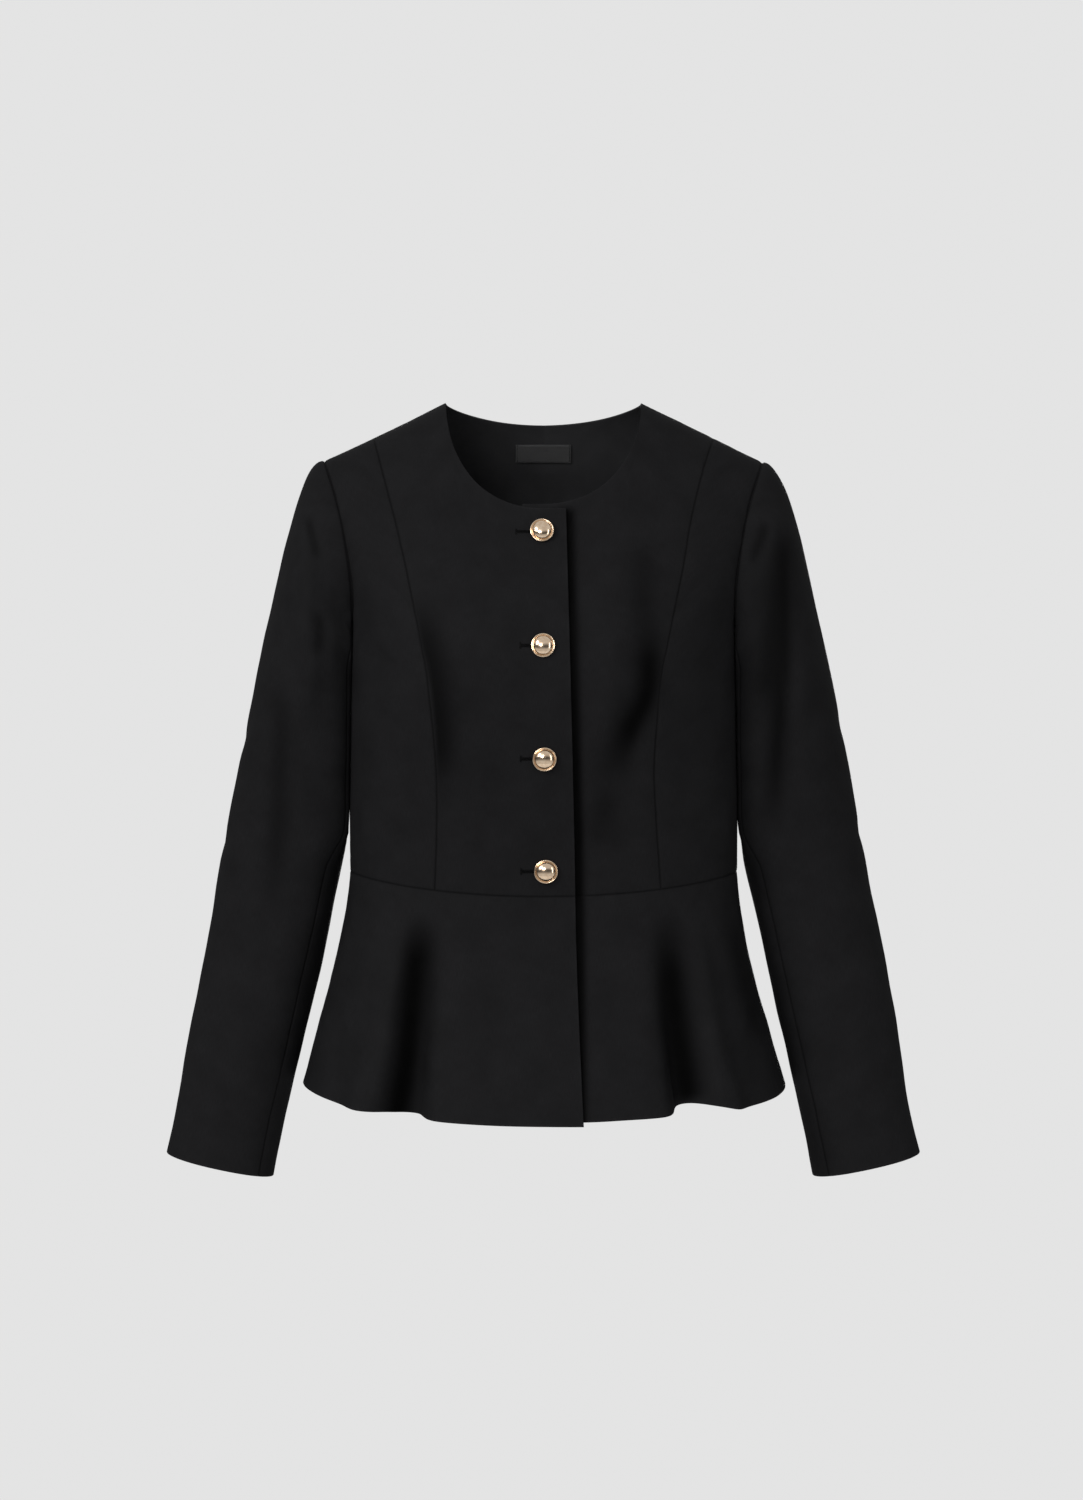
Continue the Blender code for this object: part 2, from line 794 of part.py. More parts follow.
def main():
    for thing in list(bpy.data.objects):
        bpy.data.objects.remove(thing, do_unlink=True)
    collection = bpy.data.collections.new("peplum_jacket")
    bpy.context.scene.collection.children.link(collection)
    back = back_places()
    for hand in ("right", "left"):
        centre = front_centre_places(hand)
        side_panel = front_side_places(hand)
        add_torso_panel(collection, f"front_{hand}_centre", hand, centre)
        add_torso_panel(collection, f"front_{hand}_side", hand, side_panel)
        add_torso_panel(collection, f"back_{hand}", hand, back)
        add_peplum_front(collection, f"peplum_front_{hand}", hand, centre, side_panel)
        add_sleeve(collection, hand)
    add_peplum_back(collection, "peplum_back", back)
    for number, (x, z) in enumerate(zip(button_offsets, button_heights), start=1):
        add_button(collection, number, x, z)
    add_label(collection)


main()
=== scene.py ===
# Peplum jacket, dressed: cloth shells, gold buttons, worked buttonholes and a bare label over its solids.
# Metres, +Z up. The wearer faces -Y, so the wearer's right is at -X, at the left of the photograph.

from math import asin, cos, pi, radians, sin

import bpy
import numpy as np
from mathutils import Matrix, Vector


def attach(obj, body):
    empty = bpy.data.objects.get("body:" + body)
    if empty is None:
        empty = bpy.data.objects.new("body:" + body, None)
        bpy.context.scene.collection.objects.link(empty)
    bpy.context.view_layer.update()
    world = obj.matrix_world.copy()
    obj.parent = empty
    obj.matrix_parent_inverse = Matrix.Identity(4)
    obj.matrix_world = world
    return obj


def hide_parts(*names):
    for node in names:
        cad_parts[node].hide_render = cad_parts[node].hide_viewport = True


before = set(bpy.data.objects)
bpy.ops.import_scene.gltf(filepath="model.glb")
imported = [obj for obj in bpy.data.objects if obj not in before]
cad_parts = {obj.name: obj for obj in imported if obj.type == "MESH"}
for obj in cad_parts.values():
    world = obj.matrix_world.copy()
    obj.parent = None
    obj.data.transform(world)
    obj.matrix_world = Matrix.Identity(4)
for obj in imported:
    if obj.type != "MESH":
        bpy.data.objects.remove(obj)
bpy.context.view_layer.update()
print("frame loaded")

mm = 0.001
fine = 5  # cells of dressed cloth along each cell of a solid
turnStep = 0.008  # radians to either side of a place, to take the normal from

# Cut of the jacket, from the same named values as its solids
wallThickness = 1.6 * mm
lap = {"drop": 2.1 * mm, "full": 11, "ease": 11}  # depth of the left front under the lap, then degrees
neckCut = {
    "halfWidth": 82 * mm, "right": 90.5 * mm, "left": 86 * mm, "power": 2.2,
    "back": 15.5 * mm, "backPower": 0.8,
}
shoulderCut = {"halfWidth": 184 * mm, "slope": 0.476, "front": 112 * mm, "back": 105 * mm, "power": 2.6}
bodyPower = {"front": 2.5, "back": 2.4}
underarmHeight = -214 * mm
waist = {"height": -393 * mm, "frontDip": 20 * mm, "backDip": 8 * mm, "power": 1.6}
princessCut = {"split": -226 * mm, "topX": 143 * mm}
frontEdgeCut = {"top": -91 * mm, "split": -245 * mm, "foot": -413 * mm}
bust = {"x": 86 * mm, "z": -212 * mm, "across": 48 * mm, "down": 62 * mm, "push": 6 * mm}

hemHeight = -570 * mm
hemDrop = {"right": 31 * mm, "left": 27 * mm, "back": 18 * mm}
hemPower = {"right": 1.3, "left": 0.8, "back": 1.2}
nominalDrop = {"front": 29 * mm, "back": 18 * mm}
flare = {
    "side": 40.5 * mm, "front": 46 * mm, "back": 52 * mm, "power": 1.4, "waveStart": 0.08, "wavePower": 1.2,
}

buttonPlaces = (
    (-1.3 * mm, -110.3 * mm), (-0.4 * mm, -205.4 * mm), (0.8 * mm, -298.9 * mm), (2.0 * mm, -392 * mm),
)

sleeveCut = {
    "standOff": 0.3 * mm, "power": 2.2, "cuffDrop": 4 * mm, "columns": 24, "frontSeam": 9, "backSeam": 17,
    "capRows": 6, "tubeRows": 11,
}
counts = {
    "neck": 8, "shoulder": 4, "side": 6, "backNeck": 5, "sideRows": 8, "armholeRows": 12, "peplumRows": 8,
}


def table(columns, *rows):
    return {name: np.array([row[k] for row in rows], float) for k, name in enumerate(columns)}


# Torso sections in millimetres, from the waist up to above the neck
torso = table(
    ("at", "halfWidth", "front", "back", "sideY"),
    (-430, 162.5, 84, 74, -4),
    (-395, 162.5, 85.5, 74, -4),
    (-340, 162.7, 97, 77, -3),
    (-260, 163.3, 116, 84, 0),
    (-214, 163.8, 121, 88, 3),
    (-170, 168.5, 112, 91, 5),
    (-140, 178, 99, 90, 7),
    (-107, 192, 82, 86, 8),
    (-75, 205, 68, 78, 9),
    (-50, 213, 60, 70, 10),
    (0, 226, 50, 58, 12),
    (40, 232, 42, 46, 12),
)

# Armhole between the shoulder point and the underarm, from the top down, in millimetres
armhole = table(
    ("at", "frontX", "backX"),
    (-77, 174.8, 176),
    (-107, 167.5, 171),
    (-140, 162, 166),
    (-172, 159.6, 163),
    (-200, 160.3, 163.2),
)

# Distance of each princess seam from the centre front, in millimetres
princess = table(
    ("at", "right", "left"),
    (-410, 90, 97.5),
    (-343, 88.6, 93.5),
    (-300, 89.3, 92),
    (-238, 95.5, 97),
    (-200, 102, 104),
    (-144, 113.5, 115.5),
    (-107, 122, 121.5),
    (-60, 134.5, 133),
    (-29, 143, 143),
)

# Distance of the front edges past the centre front, in millimetres
frontEdge = table(
    ("at", "right", "left"),
    (-601, 27.5, 20),
    (-413, 26.5, 20),
    (-91, 18.9, 18),
)

# Sleeve sections in millimetres, from underarm to cuff: outer and inner x and z, half depth, y, power
sleeveSections = np.array((
    (237.8, -212, 165.8, -232, 58, 7, 3.6),
    (246.9, -252, 165.8, -275, 54, 9, 3.4),
    (255.8, -300, 165.8, -322, 49, 12, 3.1),
    (264.1, -345, 166.0, -367, 44, 13, 2.8),
    (273.2, -395, 175.6, -417, 40, 12, 2.6),
    (283.1, -450, 187.4, -472, 37, 9, 2.4),
    (293.9, -510, 201.1, -532, 35, 5, 2.3),
    (304.8, -570, 214.4, -591, 33, 1, 2.2),
    (315.6, -629, 226.7, -648, 31, -3, 2.2),
), float)

# Soft folds of the bodice front: two ends (x, z), half width and depth in millimetres
bodiceFolds = (
    {"from": (84, -175), "to": (56, -310), "spread": 15, "depth": 3.2},
    {"from": (-86, -160), "to": (-78, -300), "spread": 10, "depth": 1.6},
)

foldEnd = 0.3  # share of a fold that fades at either end

# Waves of the peplum: degrees round the body, spread in degrees and push outwards in millimetres
peplumWaves = (
    {"turn": -47, "spread": 6.5, "push": 10},
    {"turn": -36, "spread": 6.0, "push": -22},
    {"turn": 39, "spread": 5.5, "push": -24},
    {"turn": 49, "spread": 5.5, "push": 9},
    {"turn": 127, "spread": 7.0, "push": 8},
    {"turn": 140, "spread": 6.5, "push": -21},
    {"turn": 180, "spread": 13.0, "push": 5},
    {"turn": 216, "spread": 7.0, "push": -18},
    {"turn": 229, "spread": 7.5, "push": 9},
)

# Lift of the hem under the front valleys: degrees, spread in degrees and lift in millimetres
hemLifts = (
    {"turn": -37, "spread": 5.0, "lift": 2.5},
    {"turn": 41, "spread": 6.0, "lift": 8.0},
)


# Curves

def hermite(start, end, startSlope, endSlope, t):
    rise = t * t * (3 - 2 * t)
    return start * (1 - rise) + end * rise + startSlope * t * (1 - t) ** 2 - endSlope * t * t * (1 - t)


def read(source, name, at):
    # Values of a column at heights between its rows, in metres, on a smooth curve through the rows.
    keys, values = source["at"], source[name]
    last = len(keys) - 1
    low = np.maximum(np.arange(last + 1) - 1, 0)
    high = np.minimum(np.arange(last + 1) + 1, last)
    slopes = (values[high] - values[low]) / (keys[high] - keys[low])
    place = np.clip(np.asarray(at) / mm, keys[0], keys[-1])
    k = np.clip(np.searchsorted(keys, place, side="right") - 1, 0, last - 1)
    span = keys[k + 1] - keys[k]
    t = (place - keys[k]) / span
    return hermite(values[k], values[k + 1], slopes[k] * span, slopes[k + 1] * span, t) * mm


def through(points, t):
    # Smooth curve through points, with t from 0 at the first to 1 at the last.
    points = np.asarray(points, float)
    last = len(points) - 1
    place = np.clip(np.asarray(t, float), 0, 1) * last
    k = np.minimum(place.astype(int), last - 1)
    a, b = points[k], points[k + 1]
    before, after = points[np.maximum(k - 1, 0)], points[np.minimum(k + 2, last)]
    return hermite(a, b, (b - before) / 2, (after - a) / 2, (place - k)[..., None])


def softStep(t):
    t = np.clip(t, 0, 1)
    return t * t * (3 - 2 * t)


def bell(distance, spread, power=2):
    return np.exp(-(np.abs(distance / spread) ** power))


def unit(vectors):
    return vectors / np.maximum(np.linalg.norm(vectors, axis=-1, keepdims=True), 1e-12)


def spreadEvenly(curve, count, samples=960):
    # Places on a curve of the torso at equal steps along its real length.
    shares = np.linspace(0, 1, samples + 1)
    points = torsoPoint(*curve(shares).T)
    lengths = np.concatenate([[0], np.cumsum(np.linalg.norm(np.diff(points, axis=0), axis=1))])
    return curve(np.interp(np.linspace(0, lengths[-1], count + 1), lengths, shares))


# Torso surface, named by the angle round the body from the centre front and the height

def shoulderLine(x):
    return -shoulderCut["slope"] * (np.abs(x) - neckCut["halfWidth"])


def turnAt(x, z):
    return np.arcsin(np.minimum(np.abs(x) / read(torso, "halfWidth", z), 1.0))


def foldRelief(x, z):
    depth = 0
    for fold in bodiceFolds:
        startX, startZ = (value * mm for value in fold["from"])
        runX, runZ = fold["to"][0] * mm - startX, fold["to"][1] * mm - startZ
        length = (runX ** 2 + runZ ** 2) ** 0.5
        along = ((x - startX) * runX + (z - startZ) * runZ) / length ** 2
        aside = ((x - startX) * runZ - (z - startZ) * runX) / length
        ends = bell(np.maximum(np.abs(along - 0.5) - foldEnd, 0), foldEnd)
        depth = depth + fold["depth"] * mm * ends * bell(aside, fold["spread"] * mm)
    return depth


def torsoPoint(turn, z):
    turn, z = np.broadcast_arrays(turn, z)
    x = read(torso, "halfWidth", z) * np.sin(turn)
    front = np.cos(turn) >= 0
    power = np.where(front, bodyPower["front"], bodyPower["back"])
    share = np.maximum(1 - np.abs(np.sin(turn)) ** power, 0) ** (1 / power)
    below = np.clip((shoulderLine(x) - z) / np.where(front, shoulderCut["front"], shoulderCut["back"]), 0, 1)
    roof = (1 - (1 - below) ** shoulderCut["power"]) ** (1 / shoulderCut["power"])
    depth = np.where(front, read(torso, "front", z), read(torso, "back", z)) * share * roof
    cup = bust["push"] * bell(np.abs(x) - bust["x"], bust["across"]) * bell(z - bust["z"], bust["down"])
    proud = (cup - foldRelief(x, z)) * softStep(share / 0.5)
    y = read(torso, "sideY", z) + np.where(front, -depth - proud, depth)
    return np.stack([x, y, z], -1)


def surfaceNormal(pointAt, u, v, stepU, stepV):
    across = pointAt(u + stepU, v) - pointAt(u - stepU, v)
    along = pointAt(u, v + stepV) - pointAt(u, v - stepV)
    return unit(np.cross(across, along))


def torsoNormal(turn, z):
    return surfaceNormal(torsoPoint, turn, z, turnStep, mm)


def levelNormal(turn):
    # The body and the peplum share a level normal at the waist seam.
    z = waistLine(turn)
    across = torsoPoint(turn + turnStep, z) - torsoPoint(turn - turnStep, z)
    return unit(np.stack([across[..., 1], -across[..., 0], 0 * z], -1))


def waistLine(turn):
    dip = np.where(np.cos(turn) >= 0, waist["frontDip"], waist["backDip"])
    return waist["height"] - dip * np.abs(np.cos(turn)) ** waist["power"]


# Cut lines on the torso, as pairs of angle and height, counted from the centre front towards either side

def pair(turn, z):
    return np.stack(np.broadcast_arrays(turn, z), -1)


def princessPlace(hand, z):
    return pair(turnAt(read(princess, hand, z), z), z)


def princessBottom(hand):
    z = waist["height"]
    for _ in range(4):
        z = waistLine(princessPlace(hand, z)[0])
    return float(z)


def edgePlace(hand, z):
    return pair(-turnAt(read(frontEdge, hand, z), z), z)


def necklinePlace(hand, angle):
    x = neckCut["halfWidth"] * np.sin(angle)
    z = -neckCut[hand] * np.sqrt(np.maximum(1 - np.maximum(np.sin(angle), 0) ** neckCut["power"], 0))
    return pair(np.sign(x) * turnAt(x, z), z)


def backNecklinePlace(share):
    x = neckCut["halfWidth"] * np.sin(share * pi / 2)
    z = -neckCut["back"] * np.maximum(1 - (x / neckCut["halfWidth"]) ** 2, 0) ** neckCut["backPower"]
    return pair(pi - turnAt(x, z), z)


def shoulderPlace(x, front):
    z = shoulderLine(x)
    return pair(turnAt(x, z) if front else pi - turnAt(x, z), z)


def armholePlace(t):
    # From the shoulder point down the front at t = 0 to the back of the shoulder point at t = 1.
    heights = armhole["at"] * mm
    down = pair(turnAt(armhole["frontX"] * mm, heights), heights)
    up = pair(pi - turnAt(armhole["backX"] * mm, heights), heights)[::-1]
    first, last = (shoulderPlace(shoulderCut["halfWidth"], front) for front in (True, False))
    return through(np.vstack([first, down, (pi / 2, underarmHeight), up, last]), t)


def rowsUp(low, middle, high, place):
    lower = spreadEvenly(lambda t: place(low + (middle - low) * t), counts["sideRows"] * fine)
    upper = spreadEvenly(lambda t: place(middle + (high - middle) * t), counts["armholeRows"] * fine)
    return np.vstack([lower, upper[1:]])


def coons(bottom, top, left, right):
    # Places inside four boundaries, as rows from the bottom to the top.
    u = np.linspace(0, 1, len(bottom))[None, :, None]
    v = np.linspace(0, 1, len(left))[:, None, None]
    across = (1 - u) * left[:, None] + u * right[:, None]
    up = (1 - v) * bottom[None] + v * top[None]
    low = (1 - u) * bottom[0] + u * bottom[-1]
    high = (1 - u) * top[0] + u * top[-1]
    return across + up - (1 - v) * low - v * high


def waistPlaces(start, end, count):
    turns = np.linspace(start, end, count + 1)
    return pair(turns, waistLine(turns))


def cells(start, end, part):
    return np.linspace(start, end, counts[part] * fine + 1)


def sideBoundary(armholeRows):
    heights = cells(waistLine(pi / 2), underarmHeight, "sideRows")
    return np.vstack([pair(pi / 2, heights), armholeRows[1:]])


def frontCentrePlaces(hand):
    first = asin(-read(frontEdge, hand, frontEdgeCut["top"]) / neckCut["halfWidth"])
    edgeLow = edgePlace(hand, frontEdgeCut["foot"])
    edgeLow[1] = waistLine(edgeLow[0])
    edgeHigh = necklinePlace(hand, first)
    left = rowsUp(edgeLow[1], frontEdgeCut["split"], edgeHigh[1], lambda z: edgePlace(hand, z))
    left[0], left[-1] = edgeLow, edgeHigh
    right = princessRows(hand)
    neck = necklinePlace(hand, cells(first, pi / 2, "neck"))
    shoulder = shoulderPlace(cells(neckCut["halfWidth"], princessCut["topX"], "shoulder"), True)
    bottom = waistPlaces(edgeLow[0], right[0][0], (counts["neck"] + counts["shoulder"]) * fine)
    return coons(bottom, np.vstack([neck, shoulder[1:]]), left, right)


def princessRows(hand):
    top = shoulderLine(princessCut["topX"])
    rows = rowsUp(princessBottom(hand), princessCut["split"], top, lambda z: princessPlace(hand, z))
    rows[-1] = shoulderPlace(princessCut["topX"], True)
    return rows


def frontSidePlaces(hand):
    left = princessRows(hand)
    front = spreadEvenly(lambda t: armholePlace(t / 2), counts["armholeRows"] * fine)
    top = shoulderPlace(cells(princessCut["topX"], shoulderCut["halfWidth"], "side"), True)
    bottom = waistPlaces(left[0][0], pi / 2, counts["side"] * fine)
    return coons(bottom, top, left, sideBoundary(front[::-1]))


def backPlaces():
    back = spreadEvenly(lambda t: armholePlace(0.5 + t / 2), counts["armholeRows"] * fine)
    right = rowsUp(waistLine(pi), princessCut["split"], -neckCut["back"], lambda z: pair(pi, z))
    outside = shoulderPlace(cells(shoulderCut["halfWidth"], princessCut["topX"], "side"), False)
    inside = shoulderPlace(cells(princessCut["topX"], neckCut["halfWidth"], "shoulder"), False)
    neck = backNecklinePlace(cells(1, 0, "backNeck"))
    top = np.vstack([outside, inside[1:], neck[1:]])
    return coons(waistPlaces(pi / 2, pi, len(top) - 1), top, sideBoundary(back), right)


def lapInset(turn, hand):
    # How far the left front lies under the right one, easing to nothing beyond the overlap.
    if hand == "right":
        return 0 * turn
    return lap["drop"] * (1 - softStep((np.degrees(turn) - lap["full"]) / lap["ease"]))


# Peplum surface

def hemLine(turn):
    back = np.cos(turn) < 0
    parts = {"back": back, "left": ~back & (turn >= 0), "right": ~back & (turn < 0)}
    height = 0
    for part, inside in parts.items():
        height = height + inside * (hemHeight - hemDrop[part] * np.abs(np.cos(turn)) ** hemPower[part])
    for lift in hemLifts:
        height = height + lift["lift"] * mm * bell(np.degrees(turn) - lift["turn"], lift["spread"])
    return height


def wavePush(turn):
    total = 0
    for wave in peplumWaves:
        gap = (np.degrees(turn) - wave["turn"] + 180) % 360 - 180
        total = total + wave["push"] * mm * bell(gap, wave["spread"])
    return total


def peplumPoint(turn, down, hand):
    # Outer point of the peplum: down runs from 0 at the waist seam to 1 at the hem.
    turn, down = np.broadcast_arrays(turn, down)
    top = torsoPoint(turn, waistLine(turn))
    ownSide = np.minimum(turn, -1e-6) if hand == "right" else np.maximum(turn, 0)
    z = top[..., 2] + (hemLine(ownSide) - top[..., 2]) * down
    front = np.cos(turn) >= 0
    drop = np.where(front, nominalDrop["front"], nominalDrop["back"]) * np.abs(np.cos(turn))
    share = (top[..., 2] - z) / (top[..., 2] - hemHeight + drop)
    spread = np.maximum(share, 0) ** flare["power"]
    waved = np.maximum((share - flare["waveStart"]) / (1 - flare["waveStart"]), 0)
    push = wavePush(turn) * waved ** flare["wavePower"]
    x = top[..., 0] + np.sin(turn) * (flare["side"] * spread + push)
    y = top[..., 1] - np.cos(turn) * (np.where(front, flare["front"], flare["back"]) * spread + push)
    return np.stack([x, y, z], -1)


# Sleeve surface, named by the share of the way round from the shoulder over the front, and the row down

def ringPoint(side, position, angle):
    # Point of a sleeve section: angle 0 is the outer side, a quarter turn the front, half a turn the inner.
    section = np.moveaxis(through(sleeveSections, position), -1, 0)
    outerX, outerZ, innerX, innerZ, halfDepth, y, innerPower = section
    power = np.where(np.cos(angle) >= 0, sleeveCut["power"], innerPower)
    across = np.abs(np.cos(angle)) ** (2 / power) * np.sign(np.cos(angle))
    forward = np.abs(np.sin(angle)) ** (2 / power) * np.sign(np.sin(angle))
    x = ((outerX + innerX) + (outerX - innerX) * across) / 2 * mm
    z = ((outerZ + innerZ) + (outerZ - innerZ) * across) / 2 * mm
    z = z - sleeveCut["cuffDrop"] * forward * softStep(position * 2 - 1)
    return np.stack([side * x, (y - halfDepth * forward) * mm, z], -1)


# Where the sleeve lies against the side of the body, from below the underarm down to where the arm leaves it
sleeveTouch = {
    "top": -188 * mm, "bottom": -392 * mm, "ease": 18 * mm, "y": -23 * mm, "spread": 28 * mm,
    "most": 10 * mm, "clear": 0.4 * mm, "low": -430 * mm, "high": -170 * mm, "inner": 0.4,
}


def restOnBody(side, points, around):
    x, y, z = side * points[..., 0], points[..., 1], points[..., 2]
    height = np.clip(z, sleeveTouch["low"], sleeveTouch["high"])
    middle = read(torso, "sideY", height)
    behind = y > middle
    reach = np.where(behind, read(torso, "back", height), read(torso, "front", height))
    power = np.where(behind, bodyPower["back"], bodyPower["front"])
    share = np.clip(np.abs(y - middle) / reach, 0, 1)
    gap = x - read(torso, "halfWidth", height) * (1 - share ** power) ** (1 / power) - sleeveTouch["clear"]
    pull = np.clip(gap, 0, sleeveTouch["most"]) * bell(y - sleeveTouch["y"], sleeveTouch["spread"], 4)
    pull = pull * softStep((sleeveTouch["top"] - z) / sleeveTouch["ease"] + 0.5)
    pull = pull * softStep((z - sleeveTouch["bottom"]) / (2 * sleeveTouch["ease"]))
    pull = pull * softStep(-np.cos(2 * pi * around) / sleeveTouch["inner"])
    return points - np.stack([side * pull, 0 * pull, 0 * pull], -1)


def armholeLoop(side):
    rows = counts["armholeRows"] * fine * 4
    front = spreadEvenly(lambda t: armholePlace(t / 2), rows)
    back = spreadEvenly(lambda t: armholePlace(0.5 + t / 2), rows)
    turns, heights = np.vstack([front, back[1:]]).T
    return torsoPoint(side * turns, heights)


# How the sleeve head leaves the armhole above, beside and below it, and how it meets the first whole section
sleeveHead = {
    "top": 0.13, "beside": 0.30, "low": 0.25, "lowOut": 0.15, "topUp": 0.09, "besideDown": 0.25,
    "lowPower": 1.5, "forward": 4 * mm, "arrive": 0.36, "arriveStep": 0.02,
}


def capPoint(side, loop, around, t):
    # Point of the sleeve head, on a curve from the armhole to the first whole section.
    angle = 2 * pi * around
    place = (around % 1) * (len(loop) - 1)
    start = np.stack([np.interp(place, np.arange(len(loop)), loop[:, k]) for k in range(3)], -1)
    start[..., 0] += side * sleeveCut["standOff"]
    end = ringPoint(side, 0 * angle, angle)
    reach = np.linalg.norm(end - start, axis=-1, keepdims=True)
    top = np.maximum(np.cos(angle), 0)
    low = np.maximum(-np.cos(angle), 0) ** sleeveHead["lowPower"]
    beside = np.maximum(1 - top - low, 0)
    outward = side * (top + beside + sleeveHead["lowOut"] * low)
    upward = sleeveHead["topUp"] * top - sleeveHead["besideDown"] * beside - low
    strength = sleeveHead["top"] * top + sleeveHead["beside"] * beside + sleeveHead["low"] * low
    leave = unit(np.stack([outward, 0 * top, upward], -1)) * reach * strength[..., None]
    leave[..., 1] -= sleeveHead["forward"] * np.sin(angle)
    onwards = unit(ringPoint(side, 0 * angle + sleeveHead["arriveStep"], angle) - end)
    arrive = onwards * reach * sleeveHead["arrive"]
    t = np.asarray(t)[..., None]
    return (
        start * (1 - t) ** 3 + (start + leave) * 3 * t * (1 - t) ** 2
        + (end - arrive) * 3 * t * t * (1 - t) + end * t ** 3
    )


def sleevePoint(side, loop, around, row):
    around, row = np.broadcast_arrays(around, row)
    capRows = sleeveCut["capRows"]
    cap = capPoint(side, loop, around, np.clip(row / capRows, 0, 1))
    tube = ringPoint(side, np.clip((row - capRows) / sleeveCut["tubeRows"], 0, 1), 2 * pi * around)
    return restOnBody(side, np.where((row < capRows)[..., None], cap, tube), around)


# Creases given one by one: a line of (across, height) points seen from one side, its half width and depth,
# in millimetres. A trough has a positive depth and a ridge a negative one.

views = {
    "front": ((0, 2), (0, -1, 0)), "back": ((0, 2), (0, 1, 0)),
    "right": ((1, 2), (-1, 0, 0)), "left": ((1, 2), (1, 0, 0)),
}


def crease(view, spread, depth, *line, **more):
    # spread counts to the left and right of a line drawn downwards; shade is painted shade, darkening its
    # colour
    left, right = spread if isinstance(spread, tuple) else (spread, spread)
    return {"view": view, "spread": (left, right), "depth": depth, "line": line, **more}


# A shade value in a row is painted shade: it darkens the cloth's colour along the crease.
bodiceCreases = (
    crease("front", (13, 11), 3.1, (88, -176), (87, -240), (72, -275), (63, -304), (56, -336),
           shade=0.95, power=2.3, start=0.28, end=0.42),
    crease("front", (13, 12), 0.8, (80, -110), (84, -160), (87, -210), shade=0.35),
    crease("front", (13, 12), 0.9, (58, -318), (50, -348), (43, -380), shade=0.38),
    crease("front", 9, -0.9, (64, -205), (60, -240), (44, -284)),
    crease("front", (3, 16), 1.8, (-108, -150), (-99, -200), (-91.5, -234), (-87.5, -267), (-86, -300),
           (-86, -345), shade=0.72),
    crease("front", 9, -0.6, (-114, -205), (-100, -262), (-96, -330)),
    crease("front", 6, 0.9, (-158, -190), (-140, -214), (-118, -226)),
    crease("front", 6, 1.0, (158, -196), (138, -222), (120, -230)),
    crease("front", 7, 0.7, (-150, -350), (-120, -362), (-84, -366)),
    crease("front", 8, 0.9, (152, -338), (118, -356), (80, -372)),
    crease("front", 6, 0.5, (-60, -372), (-20, -384), (16, -388)),
    crease("front", 6, 0.6, (30, -384), (60, -374), (86, -352)),
    crease("front", 9, 0.7, (-120, -60), (-132, -96), (-140, -140)),
    crease("front", 9, 0.8, (118, -64), (132, -104), (143, -150)),
    crease("back", 12, 1.4, (-128, -70), (-118, -130), (-96, -182), shade=0.3),
    crease("back", 11, 1.2, (122, -74), (116, -138), (88, -196), shade=0.25),
    crease("back", 10, 1.0, (-150, -210), (-112, -232), (-70, -236)),
    crease("back", 9, 0.9, (152, -204), (108, -224), (62, -246)),
    crease("back", 8, 1.1, (-142, -344), (-92, -366), (-30, -372), shade=0.3),
    crease("back", 8, 1.0, (138, -352), (84, -368), (22, -376), shade=0.25),
    crease("back", 9, 0.8, (-120, -318), (-66, -334), (-14, -336)),
    crease("back", 9, 0.7, (112, -310), (58, -328), (8, -340)),
    crease("back", 5, -1.2, (19, -60), (17, -95), (20, -130)),
)

# Shadow on the left front and peplum beside the edge of the right ones
lapShadow = crease("front", (9, 6.5), 0, (19.6, -86), (23.5, -230), (28.2, -413), (30, -607),
                   shade=1.0, power=3, start=0.02, end=0.01)

# Shade values here are painted shade in the cloth's colour, as above.
peplumCreases = (
    crease("front", (12, 14), 3.3, (-98, -420), (-104, -452), (-110, -520), (-114, -557), (-120, -592),
           shade=1.0, power=2.4, start=0.27, end=0.01),
    crease("front", 7, -1.8, (-113, -440), (-123, -485), (-129, -523), (-140, -590), end=0.01),
    crease("front", 13, 3.3, (101, -410), (106, -465), (112, -524), (117, -561), (120, -586),
           shade=0.95, power=2.1, start=0.42, end=0.06),
    crease("front", (9, 7), -1.6, (128, -430), (134, -480), (141, -530), (148, -590), end=0.01),
    crease("front", 12, -1.2, (-60, -420), (-66, -470), (-78, -540)),
    crease("front", 14, 1.0, (-40, -425), (-38, -500), (-46, -585)),
    crease("front", 12, 1.1, (52, -425), (58, -480), (70, -560)),
    crease("front", 8, 1.2, (-150, -420), (-164, -480), (-176, -560)),
    crease("front", (8, 12), 1.2, (152, -420), (166, -470), (184, -550), shade=0.4),
    crease("back", 12, -1.2, (-52, -420), (-60, -490), (-72, -570)),
    crease("back", 13, 1.2, (48, -420), (58, -480), (64, -560), shade=0.3),
    crease("back", (10, 12), 2.2, (-98, -430), (-110, -500), (-122, -580), shade=0.7, power=3, end=0.01),
    crease("back", (12, 10), 2.0, (92, -432), (104, -505), (112, -580), shade=0.7, power=3, end=0.01),
)
